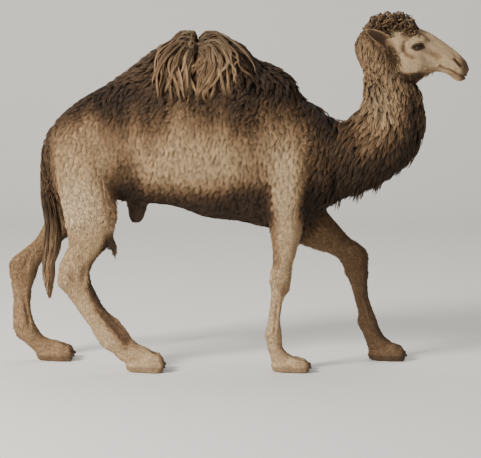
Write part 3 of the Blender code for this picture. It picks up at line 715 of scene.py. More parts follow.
def beside(a, b, share, ahead):
    """A place in the side view along a bone, and so far ahead of it."""
    a, b = np.array(a)[[0, 2]], np.array(b)[[0, 2]]
    along = (b - a) / np.linalg.norm(b - a)
    front = np.array((-along[1], along[0]))
    return tuple(a + (b - a) * share + front * ahead)


WORDS = ((RIGHT, "right"), (LEFT, "left"))
legs_found = {(place, side): leg(place, word) for place in ("fore", "hind") for side, word in WORDS}
near_foreleg = legs_found["fore", RIGHT]
print("joints of the near foreleg:", [np.round(point, 2).tolist() for point in near_foreleg])


# %% Forms of each leg
def model_knee(root, knee, bone, one):
    """A broad knee with a point behind it, under a narrow forearm."""
    out = abs(knee[1])
    front = beside(root, knee, 1.0, 0.045)
    back = beside(root, knee, 0.93, -0.055)
    swell(front[0], out, front[1], (0.040, 0.07, 0.060), 0.010, lean=-bone, **one)
    swell(back[0], out, back[1], (0.030, 0.05, 0.040), 0.008, **one)
    waist = beside(root, knee, 0.72, 0.0)
    swell(waist[0], out, waist[1], (0.10, 0.12, 0.07), -0.006, **one)


def model_hock(root, knee, one):
    """The point of the hock, and the hollow before the great tendon."""
    out = abs(knee[1])
    point = beside(root, knee, 0.93, -0.070)
    swell(point[0], out, point[1], (0.040, 0.05, 0.050), 0.012, **one)
    hollow = [beside(root, knee, 0.52, -0.016), beside(root, knee, 0.90, -0.030)]
    crease(hollow, 0.017, 0.012, fade=0.3, **one)
    swell(knee[0], out + 0.03, knee[2] - 0.01, (0.045, 0.05, 0.055), 0.007, **one)


def model_cannon(knee, fetlock, one):
    """Tendons along the cannon bone, a waist, and the fetlock with a hollow under it."""
    tendon = [beside(knee, fetlock, 0.16, -0.012), beside(knee, fetlock, 0.84, -0.014)]
    crease(tendon, 0.0085, 0.0060, lips=0.0015, fade=0.2, **one)
    split = [beside(knee, fetlock, 0.25, 0.016), beside(knee, fetlock, 0.80, 0.018)]
    crease(split, 0.0070, 0.0026, fade=0.3, **one)
    waist = beside(knee, fetlock, 0.60, 0.0)
    swell(waist[0], abs(knee[1]), waist[1], (0.09, 0.12, 0.10), -0.004, **one)
    out = abs(fetlock[1])
    swell(fetlock[0] - 0.02, out, fetlock[2] - 0.005, (0.06, 0.08, 0.045), 0.007, **one)
    swell(fetlock[0] + 0.03, out, fetlock[2] - 0.055, (0.05, 0.09, 0.030), -0.005, **one)


def model_foot(toe, side):
    """The cleft between two toes, a groove over the nails, and one round the pad."""
    x, y, z = surface.points.T
    near_toe = (side * y > 0) * ramp(z, 0.17, 0.12) * (abs(x - toe[0] + 0.06) < 0.20)
    cleft = np.exp(-(((y - toe[1]) / 0.0075) ** 2)) * ramp(x, toe[0] - 0.11, toe[0] - 0.05)
    knuckle = np.exp(-(((x - toe[0] + 0.055) / 0.020) ** 2)) * ramp(z, 0.050, 0.080)
    pad = np.exp(-(((z - 0.020) / 0.0045) ** 2))
    sunk = near_toe * (0.016 * cleft + 0.004 * knuckle + 0.0035 * pad)
    surface.points -= surface.normals() * sunk[:, None]


for (place, side), (root, knee, fetlock, toe) in legs_found.items():
    one = dict(sides=(side,))
    if place == "fore":
        model_knee(root, knee, math.degrees(math.atan2(*(knee - fetlock)[[0, 2]])), one)
    else:
        model_hock(root, knee, one)
    model_cannon(knee, fetlock, one)
    model_foot(toe, side)
print("legs modelled:", len(legs_found))

# %% [markdown]
# ## Lids
#
# An eyelid is skin stretched over a ball. Inside an almond in the side view the skin drops
# behind the eyeball, and round it the skin lies on the ball with the thickness of a lid.

# %% The lids
eye_tilt = math.radians(8)
lid_length = 1.04 * eye_size  # half the length of the opening
lid_over, lid_under = 0.52 * eye_size, 0.38 * eye_size
lid_thickness = 0.0042


def lid_edges(along):
    """Heights of the upper and lower edge of the opening, over the line of the eye."""
    arch = np.clip(1.0 - (along / lid_length) ** 2, 0.0, 1.0)
    return lid_over * arch**0.75, -lid_under * arch**0.9


def eye_plane(points, eye):
    """Places in the plane of the opening: along it, up, and the distance outwards."""
    dx, dy, dz = (points - np.array(eye)).T
    along = dx * math.cos(eye_tilt) + dz * math.sin(eye_tilt)
    up = dz * math.cos(eye_tilt) - dx * math.sin(eye_tilt)
    return along, up, dy


opening_ahead = 0.04 * eye_size
ball_sunk = 0.007  # how far the skin inside the opening lies behind the eyeball
for side, eye in eyes.items():
    along, up, dy = eye_plane(surface.points, eye)
    out = side * dy
    ring = np.hypot(along, up)
    over, under = lid_edges(along - opening_ahead)
    inside = (up < over) & (up > under) & (out > 0) & (ring < 1.2 * eye_size)
    lid = np.sqrt(np.clip((eye_size + lid_thickness) ** 2 - ring**2, 0.0, None))
    lifted = np.maximum(out, lid - 0.0015 * ramp(ring, 0.6 * eye_size, 1.0 * eye_size))
    near = (out > 0) & (ring < 1.25 * eye_size)
    ball = np.sqrt(np.clip(eye_size**2 - ring**2, 0.0, None)) - ball_sunk
    wanted = np.where(inside, ball, lifted)
    surface.points[near, 1] = eye.y + side * wanted[near]
    skin_near = ((out > 0) & (ring < round_eye) & ~inside).astype(float)
    surface.smooth(rounds=2, share=skin_near * 0.6)


def from_eye(along, up):
    """A place in the side view, measured from the middle of the eye."""
    return eyes[RIGHT].x + along, eyes[RIGHT].z + up


fold = [from_eye(-0.040, 0.020), from_eye(0.0, 0.032), from_eye(0.030, 0.028), from_eye(0.046, 0.014)]
crease(fold, 0.0045, 0.0045, 0.0010, low=0.05, fade=0.25)
bag = [from_eye(-0.036, -0.014), from_eye(-0.010, -0.027), from_eye(0.022, -0.022)]
crease(bag, 0.0045, 0.0030, 0.0010, low=0.05, fade=0.3)
print("eye radius, mm:", round(1000 * eye_size, 1))

# %% [markdown]
# ## Ears
#
# A camel's ear is a small cupped leaf with a furry back. It is lofted: one curved section is
# repeated along the ear, wide in the middle and narrow at the tip. A union with the skin makes
# the ear grow out of the head without a seam, and a little smoothing rounds the joint.

# %% A loft
def grid_object(name, rings, capped=True):
    """A closed form through rings of equally many points, with a pole at each end."""
    count, sides = rings.shape[:2]
    points = rings.reshape(-1, 3)
    i, j = np.meshgrid(np.arange(count - 1), np.arange(sides), indexing="ij")
    a, b = i * sides + j, i * sides + (j + 1) % sides
    quads = np.stack([a, b, b + sides, a + sides], axis=-1).reshape(-1, 4).tolist()
    points = np.vstack([points, rings[0].mean(axis=0), rings[-1].mean(axis=0)])
    first, last = count * sides, count * sides + 1
    edge = (count - 1) * sides
    for j in range(sides):
        quads.append([first, (j + 1) % sides, j])
        quads.append([last, edge + j, edge + (j + 1) % sides])
    mesh = bpy.data.meshes.new(name)
    mesh.from_pydata(points.tolist(), [], quads)
    bm = bmesh.new()
    bm.from_mesh(mesh)
    bmesh.ops.recalc_face_normals(bm, faces=bm.faces)
    bm.to_mesh(mesh)
    bm.free()
    return link(name, mesh)


def unit(vectors):
    """The same directions, each one long."""
    return vectors / np.maximum(np.linalg.norm(vectors, axis=-1, keepdims=True), 1e-9)


# %% The ears
ear_boxes = {RIGHT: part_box("ear_right"), LEFT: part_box("ear_left")}
EAR_HALF = 0.041  # half the width of an ear where it is widest


def ear_frame(side):
    """Root and tip of an ear, and the directions across it: up its edge, and out of its cup."""
    low, high = ear_boxes[side]
    outer = low.y if side == RIGHT else high.y
    inner = high.y if side == RIGHT else low.y
    tip = np.array((low.x + 0.004, outer - side * 0.006, high.z - 0.006))
    root = np.array((high.x + 0.004, inner - side * 0.022, low.z + 0.014))
    ahead = unit(tip - root)
    out = np.array((0.42, side * 1.0, -0.06))
    out = unit(out - ahead * (out @ ahead))
    return root, tip, ahead, out, np.cross(ahead, out) * side


def make_ear(side):
    """A cupped leaf, lofted from the root of the ear to its tip."""
    root, tip, ahead, out, up = ear_frame(side)
    rings = []
    for t in np.linspace(0.0, 1.0, 26):
        half = EAR_HALF * math.sin(math.pi * min(0.26 + 0.74 * t, 0.992)) ** 0.62
        thick = 0.0055 * (1.0 - 0.55 * t)
        bend = 0.010 * math.sin(math.pi * t)
        ring = []
        for turn in np.linspace(0.0, 2 * math.pi, 32, endpoint=False):
            across = math.cos(turn)
            cup = half * 0.62 * (1.0 - 0.3 * t) * (across**2 - 0.55)
            rise = thick * math.sin(turn) * math.sqrt(max(1.0 - across**6, 0.0))
            middle = root + (tip - root) * t
            ring.append(middle + up * half * across + out * (rise + cup + bend))
        rings.append(ring)
    return grid_object("ear", np.array(rings))


surface.normals()
for side in (RIGHT, LEFT):
    ear = make_ear(side)
    join = skin.modifiers.new("ear", "BOOLEAN")
    join.operation = "UNION"
    join.solver = "MANIFOLD"
    join.object = ear
    settled(skin)
    bpy.data.objects.remove(ear)
surface = Surface(skin)
for side in (RIGHT, LEFT):
    root = ear_frame(side)[0]
    near = ramp(np.linalg.norm(surface.points - root, axis=1), 0.055, 0.030)
    surface.smooth(rounds=4, share=near * 0.8)
surface.normals()
print("skin faces with ears:", len(skin.data.polygons))

# %% [markdown]
# ## The lie of the coat
#
# Hair points the same way as its neighbours: back and down over the ribs, down the neck and
# legs, backwards over the face, and away from the parting on the hump. Each region's direction
# is laid flat on the skin and blurred a little, so that no two regions meet in a line.

# %% Shares of the body's parts
region = regions_of(surface.points)
shares = surface.spread(np.eye(len(table))[region], rounds=24)
normals = surface.normals()
x, y, z = surface.points.T
nx, ny, nz = normals.T
part_share = {names[0]: shares[:, i] for i, names in enumerate(REGIONS)}
trunk_share = part_share["trunk"]
neck_share = part_share["neck_lower"] + part_share["neck_upper"]
head_share = part_share["head"]
hump_share = part_share["hump"]
gullet = head_share * ramp(z, 1.86, 1.80) * ramp(x, 1.24, 1.18)  # behind and under the jaw
print("share of head:", round(float(head_share.mean()), 2))

# %% Directions of the hair
lie = np.zeros_like(surface.points)
lie[:, 0], lie[:, 2] = shares @ table[:, LIE_X], shares @ table[:, LIE_Z]
lie[:, 1] = 2.0 * y * (trunk_share + neck_share)
lie[:, 0] += 3.0 * (x - mop_middle.x) * hump_share
lie[:, 1] += 4.0 * y * hump_share
front_of_neck = neck_share * ramp(z, 1.55, 1.70) * ramp(nx, 0.0, 0.4)
under_jaw = np.clip(3.0 * gullet + front_of_neck, 0.0, 1.0)[:, None]
lie = lie * (1.0 - under_jaw) + under_jaw * (0.0, 0.0, -1.0)
for _ in range(6):
    lie -= normals * (lie * normals).sum(axis=1)[:, None]
    lie = unit(surface.average(unit(lie)) + 0.3 * unit(lie))
lie = unit(lie - normals * (lie * normals).sum(axis=1)[:, None])
print("mean direction of the hair:", np.round(lie.mean(axis=0), 2).tolist())

# %% [markdown]
# ## Where the coat is wool
#
# Wool grows on the hump, the neck and the tail. It also runs along the back in a ragged edge,
# over the breast and the nape, and up to the jaw, and it stays clear of the ears. Where it
# grows, the coat is longer and deeper.

# %% Wool, length and depth
ragged = 0.030 * np.sin(9.0 * x + 1.0) + 0.022 * np.sin(23.0 * x) + 0.012 * np.sin(47.0 * x + 2.0)
topline = ramp(z + ragged, 1.50, 1.70) * trunk_share
breast = ramp(x, 0.36, 0.50) * ramp(z, 0.92, 1.04) * trunk_share
nape = ramp(x, 0.97, 0.86) * head_share
throat = ramp(nz, -0.25, -0.75) * ramp(x, 1.20, 1.08) * head_share
ear_gap = np.full(len(x), 1.0)
for side in (RIGHT, LEFT):
    root, tip = ear_frame(side)[:2]
    ear = tip - root
    share = np.clip((surface.points - root) @ ear / (ear @ ear), 0.0, 1.0)
    gap = np.linalg.norm(surface.points - root - share[:, None] * ear, axis=1)
    ear_gap = np.minimum(ear_gap, gap)
off_ears = ramp(ear_gap, 0.034, 0.060)


def patch_share(x0, z0, along, up, lean=0.0):
    """1 at a place in the side view, falling softly to 0 at an ellipse round it."""
    turn = math.radians(lean)
    dx, dz = x - x0, z - z0
    u = (dx * math.cos(turn) + dz * math.sin(turn)) / along
    v = (dz * math.cos(turn) - dx * math.sin(turn)) / up
    return ramp(np.hypot(u, v), 1.0, 0.35)


def line_share(path, width):
    """1 on a bent line in the side view, falling to 0 beside it."""
    gap, _ = from_path(surface.points, path)
    return np.exp(-((gap / width) ** 2))


WOOL_LENGTH, WOOL_DEPTH = 0.085, 0.014  # the least that wool has anywhere
curls = head_share * patch_share(*from_eye(-0.153, -0.066), 0.056, 0.100, 20)
wool = np.clip(shares @ table[:, WOOL] + 0.9 * topline + breast + nape, 0.0, 1.0) * off_ears
wool = np.clip(wool + gullet, 0.0, 1.0)
coat_length = np.maximum(shares @ table[:, LENGTH], WOOL_LENGTH * wool) * (0.50 + 0.50 * off_ears)
coat_length *= 1.0 - 0.50 * patch_share(0.855, 1.865, 0.085, 0.130)  # shorter on the nape
coat_depth = np.maximum(shares @ table[:, DEPTH], WOOL_DEPTH * wool) * (0.50 + 0.50 * off_ears)
print("share of wool:", round(float(wool.mean()), 2))

# %% [markdown]
# ## Markings, with painted light and shade
#
# The markings are a single number for each point, from cream at 0 to nearly black at 1, so that
# skin and hair can share them, and the same number carries painted light and shade. They are soft
# patches and lines, laid over each other. The back is dark wool. Shoulder, ribs and thigh are
# painted paler where the lamp falls on them, and belly, breast and rump are darker, partly a darker
# coat and partly painted shade.

# %% Markings of the body
outer = ramp(np.where(y > 0, ny, -ny), -0.35, 0.25)
dark = shares @ table[:, DARKNESS]
saddle = ramp(z + 2.0 * ragged, 1.36, 1.80) * trunk_share
# the breast term is dark wool and partly painted shade, as the breast is turned from the lamp
dark += 0.62 * saddle + 0.46 * breast + 0.45 * nape + 0.36 * trunk_share * ramp(nz, 0.30, 0.85)
shoulder = patch_share(0.30, 1.16, 0.15, 0.46)
# the belly is darker, partly a darker coat and partly painted shade under the body
dark += trunk_share * 0.66 * ramp(z, 1.26, 1.05) * ramp(x, -0.80, -0.66) * (1.0 - shoulder)
# painted light: the shoulder is made paler where the lamp falls on it
dark += trunk_share * (0.20 * patch_share(0.11, 1.10, 0.18, 0.34) - 0.24 * shoulder)
# painted light: the middle of the flank, over the ribs, is paler where the lamp falls on it
dark -= trunk_share * 0.14 * patch_share(-0.25, 1.34, 0.48, 0.24)  # ribs
trunk_and_thigh = trunk_share + part_share["hind_right_thigh"]
# painted shade in the fold between the belly and the thigh
dark += trunk_and_thigh * 0.44 * patch_share(-0.69, 1.14, 0.16, 0.34, -8)  # fold of the flank
# painted light: the thigh is paler where the lamp falls on it
dark -= trunk_and_thigh * 0.16 * patch_share(-1.00, 1.10, 0.16, 0.42)  # thigh
# the back of the hindquarters is darker, partly a darker coat and partly painted shadow behind the thigh
dark += trunk_and_thigh * 0.50 * ramp(x, -1.06, -1.17) * ramp(z, 0.72, 0.90)  # rump
# first term: the front of the neck is darker, partly dark throat wool and partly painted shade on the
# side turned from the lamp
dark += 0.24 * neck_share * ramp(nx, 0.05, 0.60) + 0.24 * neck_share * ramp(z, 1.52, 1.28)
# painted shade of the throat, down the front of the neck below the jaw
dark += 0.34 * neck_share * line_share([(1.10, 1.78), (1.08, 1.62), (1.06, 1.46)], 0.055)
dark -= 0.20 * neck_share * patch_share(0.88, 1.60, 0.11, 0.26, -12)
# painted shade on the front of the hump, which is turned from the lamp
dark += 0.10 * hump_share * ramp(x, -0.05, 0.10)
print("mean darkness of the body:", round(float(dark.mean()), 2))

# %% [markdown]
# ## Markings and painted shade of the legs
#
# The legs are painted darker inside than outside, as shade, which is also what shows of the legs
# of the far side. Painted shade runs in dark lines down the front of the hind leg and the back of
# the foreleg on the near side, and darkens the front of each leg, which is turned from the lamp. A
# callus darkens the knee and the hock.

# %% Legs
SHADE_DOWN_HIND_LEG = [(-0.766, 0.789), (-0.882, 0.662), (-0.895, 0.535), (-0.840, 0.390)]
SHADE_DOWN_HIND_LEG += [(-0.750, 0.279), (-0.685, 0.190)]
SHADE_DOWN_FORELEG = [(0.205, 1.18), (0.222, 0.95), (0.245, 0.68)]
near_side = y * RIGHT > 0
legs = sum(part_share[name] for name in part_share if name.startswith(("hind", "fore")))
legs = legs + part_share["_foot"] - part_share["hind_right_thigh"]
# painted shade: darker on the insides of the legs, and on their fronts, which are turned from the lamp
dark += legs * (ramp(x, -0.2, 0.2) * 0.20 + 0.28) * (1.0 - outer) + legs * 0.24 * ramp(nx, 0.0, 0.8)
# painted shade in dark lines down the near hind leg and the near foreleg
dark += 0.58 * legs * line_share(SHADE_DOWN_HIND_LEG, 0.034) * near_side
dark += 0.36 * line_share(SHADE_DOWN_FORELEG, 0.026) * near_side
callus = patch_share(0.285, 0.530, 0.040, 0.060) + patch_share(-1.022, 0.610, 0.035, 0.055)
dark += 0.28 * legs * callus * near_side
# the feet are darker towards the ground, and their fronts carry painted shade, turned from the lamp
dark += part_share["_foot"] * (0.10 * ramp(z, 0.05, 0.02) + 0.12 * ramp(nx, 0.4, 0.9))
print("share of legs:", round(float(legs.mean()), 2))

# %% [markdown]
# ## Markings and painted shade of the head
#
# The lids and the lower lip are dark skin, and so is a line down the nose. The muzzle is dark skin,
# with painted shade at its end. Painted shade lies round the eye socket, under the eye, in the
# hollow of the face, in the nostrils, along the mouth and jawline and under the jaw. These lines
# are placed from the eye, or on the mouth and nostril.

# %% Head
NOSTRIL_SHADE = [(1.345, 1.930), (1.360, 1.914), (1.380, 1.892)]
MOUTH_SHADE = [(1.262, 1.889), (1.296, 1.873), (1.33, 1.862), (1.40, 1.820)]
SHADE_UNDER_EYE = [from_eye(-0.082, 0.0), from_eye(-0.070, -0.043), from_eye(-0.026, -0.061)]
SOCKET_SHADE = [from_eye(-0.088, -0.02), from_eye(-0.082, 0.03), from_eye(-0.03, 0.075)]
SOCKET_SHADE += [from_eye(0.03, 0.080), from_eye(0.075, 0.04)]
JAW_SHADE = [(0.977, 1.873), (1.034, 1.830), (1.114, 1.835), (1.182, 1.857), (1.235, 1.868)]
# first term: painted shade under the jaw; the second is a dark line down the nose
dark += head_share * (0.55 * throat + 0.40 * ramp(nz, 0.72, 0.95) * ramp(x, 1.10, 1.16))
# the muzzle is dark skin, with painted shade at its end
dark += head_share * 0.62 * ramp(x, 1.362, 1.412)  # muzzle
dark += head_share * 0.30 * patch_share(1.355, 1.822, 0.075, 0.030, -20)  # lower lip
# painted shade in the slits of the nostrils and in the crease of the mouth
dark += head_share * 0.80 * line_share(NOSTRIL_SHADE, 0.011)
dark += head_share * 0.60 * line_share(MOUTH_SHADE, 0.006)
# painted shade in the hollow of the face
dark += head_share * 0.32 * patch_share(*from_eye(0.115, -0.048), 0.075, 0.026, -27)  # hollow
# painted shade in the crease under the eye and round the eye socket
dark += head_share * 0.48 * line_share(SHADE_UNDER_EYE, 0.012)
dark += head_share * 0.46 * line_share(SOCKET_SHADE, 0.009)
dark += 0.60 * curls
# painted shade along the jawline
dark += head_share * 0.36 * line_share(JAW_SHADE, 0.015)
dark += head_share * 0.45 * patch_share(*from_eye(-0.190, 0.010), 0.075, 0.060)  # behind the ear
print("mean darkness so far:", round(float(dark.mean()), 2))


# %% Sheath, stifles, lids and ears
def in_box(points, low, high, margin=0.02):
    """True for points inside a box, or within the margin of it."""
    return np.all((points > np.array(low) - margin) & (points < np.array(high) + margin), axis=1)


on_sheath = in_box(surface.points, *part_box("sheath"))
dark += 0.45 * surface.spread(on_sheath.astype(float), rounds=4)
for side, (stifle_x, stifle_z) in ((RIGHT, (-0.785, 0.78)), (LEFT, (-1.050, 0.77))):
    dark += 0.60 * patch_share(stifle_x, stifle_z, 0.060, 0.12) * (side * y > 0)
# painted shade behind and under the jaw
dark += 0.50 * gullet
lids = np.zeros(len(x))
for side, eye in eyes.items():
    along, up, dy = eye_plane(surface.points, eye)
    lid_along = (along - 5.0 * opening_ahead) / (2.00 * eye_size)
    lid_up = (up - 0.08 * eye_size) / (0.98 * eye_size)
    lids += ramp(np.hypot(lid_along, lid_up), 1.0, 0.72) * (side * dy > 0)
dark += 0.90 * lids * head_share
ears_share = part_share["ear_right"]
for side in (RIGHT, LEFT):
    root, tip, ahead, out, up = ear_frame(side)
    from_root = surface.points - root
    along = (from_root @ ahead) / np.linalg.norm(tip - root)
    half = EAR_HALF * np.sin(math.pi * np.clip(0.26 + 0.74 * along, 0.05, 0.99)) ** 0.62
    inside_ear = ramp(abs(from_root @ up) / half, 0.86, 0.62) * ramp(normals @ out, 0.1, 0.5)
    inside_ear *= (side * y > 0) * ramp(along, 0.0, 0.2) * ramp(along, 1.0, 0.8)
    # painted shade inside the cup of the ear
    dark += ears_share * (0.55 * inside_ear - 0.10 * (side * y > 0))
off_lids = 1.0 - 0.6 * np.clip(lids, 0.0, 1.0)
dark = np.clip(dark, 0.0, 1.0 - 0.20 * head_share * off_lids)
print("mean darkness:", round(float(dark.mean()), 2))

# %% [markdown]
# ## The colours of the coat
#
# A camel's coat is one hue from cream to dark brown, so a point's darkness, with the painted light
# and shade in it, is looked up on a short scale of colours. The colours and the coat's lie, length
# and depth are then written to the skin as attributes, where materials and Geometry Nodes can read them.

# %% Colours from cream to nearly black
COAT_COLOURS = (
    (0.00, (0.640, 0.480, 0.300)),
    (0.25, (0.500, 0.345, 0.195)),
    (0.50, (0.330, 0.205, 0.108)),
    (0.75, (0.150, 0.085, 0.042)),
    (1.00, (0.055, 0.032, 0.018)),
)


def coat_colour(darkness):
    """The colour of the coat for each darkness."""
    steps, colours = zip(*COAT_COLOURS)
    return np.stack([np.interp(darkness, steps, c) for c in np.array(colours).T], axis=-1)


def store(mesh, name, kind, values, domain="POINT"):
    """Writes an array to the mesh as a named attribute."""
    made = mesh.attributes.new(name, kind, domain)
    field = {"FLOAT": "value", "FLOAT_VECTOR": "vector", "FLOAT2": "vector"}.get(kind, "color")
    made.data.foreach_set(field, np.asarray(values, np.float32).ravel())


def with_alpha(colours):
    """The same colours with a fourth number, 1, which a colour attribute needs."""
    return np.column_stack([colours, np.ones(len(colours))])


store(skin.data, "coat_colour", "FLOAT_COLOR", with_alpha(coat_colour(dark)))
store(skin.data, "lie", "FLOAT_VECTOR", lie)
store(skin.data, "coat_length", "FLOAT", coat_length)
store(skin.data, "coat_depth", "FLOAT", coat_depth)
print("colours on the scale:", len(COAT_COLOURS))

# %% [markdown]
# ## A flat map of the skin
#
# When the model's colours are baked, every tuft needs its own place in the baked image. So the
# skin is unwrapped once, and each tuft takes a patch a few thousandths wide at the place of
# its root.

# %% Unwrapping the skin
skin.data.uv_layers.new(name="unwrap")
bpy.context.view_layer.objects.active = skin
skin.select_set(True)
bpy.ops.object.mode_set(mode="EDIT")
bpy.ops.mesh.select_all(action="SELECT")
bpy.ops.uv.smart_project(angle_limit=math.radians(66), island_margin=0.0008)
bpy.ops.object.mode_set(mode="OBJECT")
PATCH = 0.003  # width of a tuft's patch, as a share of the baked image
skin.data.calc_loop_triangles()
triangles = np.empty((len(skin.data.loop_triangles), 3), np.int32)
skin.data.loop_triangles.foreach_get("vertices", triangles.ravel())
triangle_loops = np.empty_like(triangles)
skin.data.loop_triangles.foreach_get("loops", triangle_loops.ravel())
unwrap = np.empty((len(skin.data.loops), 2), np.float32)
skin.data.uv_layers["unwrap"].data.foreach_get("uv", unwrap.ravel())
a, b, c = (surface.points[triangles[:, i]] for i in range(3))
triangle_area = 0.5 * np.linalg.norm(np.cross(b - a, c - a), axis=1)
print("skin triangles:", len(triangles), "area, square metres:", round(triangle_area.sum(), 2))

# %% [markdown]
# ## Solid hair
#
# Particle hair would be lost when the model leaves Blender, so each lock here is a thin closed
# solid that tapers to a point. Many locks are made at once: their centre lines are one big
# array, rings of points are set round them, and the same pattern of faces joins the rings of
# every lock.

# %% Strands from centre lines
def tapering(count, blunt=0.35):
    """Thickness along a strand as a share: full to the middle, then down to a point."""
    t = np.linspace(0.0, 1.0, count)
    return (0.75 + 0.25 * np.sin(math.pi * t)) * np.sqrt(np.clip(1.0 - t ** (1 / blunt), 0.0, 1.0))


def strands(lines, outwards, radius, flat=0.5, sides=3):
    """Points, faces, share along the strand and patch place for closed strands.

    Lines are (strands, rings, 3), and the last ring of a strand is its tip. Outwards is the
    skin's normal at each ring or root, and radius is one number for each strand."""
    count, rings = lines.shape[:2]
    if outwards.ndim == 2:
        outwards = np.repeat(outwards[:, None], rings, axis=1)
    ahead = unit(np.gradient(lines, axis=1))
    across = unit(np.cross(ahead, outwards))
    over = np.cross(across, ahead)
    size = np.asarray(radius)[:, None] * tapering(rings)[None, :]
    turns = np.arange(sides) / sides * 2 * math.pi + math.pi / 2
    body = lines[:, :-1, None] + size[:, :-1, None, None] * (
        across[:, :-1, None] * np.cos(turns)[None, None, :, None]
        + over[:, :-1, None] * flat * np.sin(turns)[None, None, :, None]
    )
    points = np.concatenate([body.reshape(count, -1, 3), lines[:, -1:]], axis=1)
    faces = [[0, j, j + 1] for j in range(1, sides - 1)]
    for i in range(rings - 2):
        for j in range(sides):
            a, b = i * sides + j, i * sides + (j + 1) % sides
            faces += [[a, a + sides, b], [b, a + sides, b + sides]]
    tip, edge = (rings - 1) * sides, (rings - 2) * sides
    faces += [[edge + j, tip, edge + (j + 1) % sides] for j in range(sides)]
    faces = np.array(faces)[None] + np.arange(count)[:, None, None] * (tip + 1)
    share = np.append(np.repeat(np.linspace(0.0, 1.0, rings)[:-1], sides), 1.0)
    round_it = np.append(np.tile(0.5 + 0.5 * np.cos(turns), rings - 1), 0.5)
    patch = np.column_stack([share, round_it])
    patches = np.tile(patch, (count, 1))
    return points.reshape(-1, 3), faces.reshape(-1, 3), np.tile(share, count), patches


# %% A piece of coat
coat_pieces = []


def coat_piece(name, points, faces, share, tone, colour, place):
    """An object of hair with its attributes and its map for baking."""
    a, b, c = (points[faces[:, i]] for i in range(3))
    middle_of = points.mean(axis=0)
    if np.einsum("ij,ij->", np.cross(a - middle_of, b - middle_of), c - middle_of) < 0:
        faces = faces[:, ::-1]
    mesh = bpy.data.meshes.new(name)
    mesh.vertices.add(len(points))
    mesh.vertices.foreach_set("co", points.astype(np.float32).ravel())
    mesh.loops.add(faces.size)
    mesh.loops.foreach_set("vertex_index", faces.astype(np.int32).ravel())
    mesh.polygons.add(len(faces))
    mesh.polygons.foreach_set("loop_start", np.arange(len(faces), dtype=np.int32) * 3)
    mesh.polygons.foreach_set("use_smooth", np.ones(len(faces), bool))
    mesh.update(calc_edges=True)
    store(mesh, "share", "FLOAT", share)
    store(mesh, "tone", "FLOAT", tone)
    store(mesh, "coat_colour", "FLOAT_COLOR", with_alpha(colour))
    store(mesh, "OFBake", "FLOAT2", place[faces.ravel()], "CORNER")
    made = link(name, mesh)
    mesh.materials.append(wool_finish)
    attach(made, "root")
    coat_pieces.append(made)
    print(name, "triangles:", len(faces))
    return made

# %% [markdown]
# ## The finish of hair
#
# A lock is darker at its root, where little light gets in, and bleached at its tip by the sun.
# Its colour comes from the skin under it, and each tuft is a little lighter or darker than the
# next. A fine grain along the strand stands for the single hairs.

# %% Hair finish
def hair_finish(name, root_shade, tip_shade, tones):
    """A finish for strands, given how dark their roots are and how much tufts differ."""
    made, shader, start = finish(name, (0.4, 0.28, 0.16), 0.62, Specular_IOR_Level=0.28)
    base = start.node("ShaderNodeAttribute", {"attribute_name": "coat_colour"})
    share = start.node("ShaderNodeAttribute", {"attribute_name": "share"}, output=2)
    tone = start.node("ShaderNodeAttribute", {"attribute_name": "tone"}, output=2)
    place = start.node("ShaderNodeTexCoord", output=OBJECT)
    fibre = start.node("ShaderNodeTexNoise", {}, {"Vector": place, "Scale": 260.0, "Detail": 2.0})
    patch = start.node("ShaderNodeUVMap", {"uv_map": "OFBake"})
    finer = (1.2 / PATCH, 6.0 / PATCH, 1.0)  # along and across the hair
    combed = start.node("ShaderNodeMapping", {}, {"Vector": patch, "Scale": finer})
    strand = start.node("ShaderNodeTexNoise", {}, {"Vector": combed, "Scale": 1.0, "Detail": 2.0})
    shading = (root_shade + (tip_shade - root_shade) * share) * (1.0 - tones / 2 + tones * tone)
    colour = base * shading * (0.90 + 0.20 * fibre) * (0.55 + 0.90 * strand)
    start.feed(shader.inputs["Base Color"], colour)
    start.feed(shader.inputs["Roughness"], 0.55 + 0.20 * fibre)
    relief = {"Strength": 0.45, "Distance": 0.002, "Height": fibre + strand}
    start.feed(shader.inputs["Normal"], start.node("ShaderNodeBump", {}, relief))
    return made


wool_finish = hair_finish("wool", root_shade=0.24, tip_shade=1.08, tones=0.75)
short_finish = hair_finish("short_coat", root_shade=0.66, tip_shade=1.12, tones=0.45)
leg_finish = hair_finish("leg_coat", root_shade=0.92, tip_shade=1.08, tones=0.22)
face_finish = hair_finish("face_coat", root_shade=0.90, tip_shade=1.04, tones=0.16)
print("finishes so far:", [material.name for material in bpy.data.materials])

# %% [markdown]
# ## Short coat
#
# The flank, legs and face are covered by thousands of like tufts, which is what Geometry
# Nodes are for. The tree scatters points over the skin, turns a tuft at each to the lie of
# the coat, stretches it to the coat's length and depth there, and makes it solid mesh.

# %% One tuft of short hair
random = np.random.default_rng(11)


def make_tuft(blades, rings):
    """A tuft that runs along X from 0 to 1 and rises to about 1."""
    t = np.linspace(0.0, 1.0, rings)
    lines = []
    for i in range(blades):
        off = (i - (blades - 1) / 2) / max(blades - 1, 1) * 1.3
        bend = random.uniform(-0.35, 0.35)
        y = off * (1.0 - 0.25 * t) + bend * t**2
        high = random.uniform(0.75, 1.0)
        reach = random.uniform(0.80, 1.0)
        rise = -0.12 + high * (1 - (1 - t) ** 1.8)
        lines.append(np.stack([t * reach + 0.06 * i, y, rise], axis=-1))
    squeeze = (1, 0.2, 0.2)  # makes the blades round while their rings are laid
    upwards = np.tile((0, 0, 1.0), (blades, 1))
    lines = np.array(lines) * squeeze
    points, faces, share, patch = strands(lines, upwards, np.full(blades, 0.075), flat=0.5)
    points = points / squeeze
    mesh = bpy.data.meshes.new("tuft")
    mesh.from_pydata(points.tolist(), [], faces.tolist())
    store(mesh, "share", "FLOAT", share)
    store(mesh, "patch", "FLOAT_VECTOR", np.column_stack([patch, np.zeros(len(patch))]))
    made = link("tuft", mesh)
    made.hide_render = True
    print("triangles in a tuft:", len(faces))
    return made


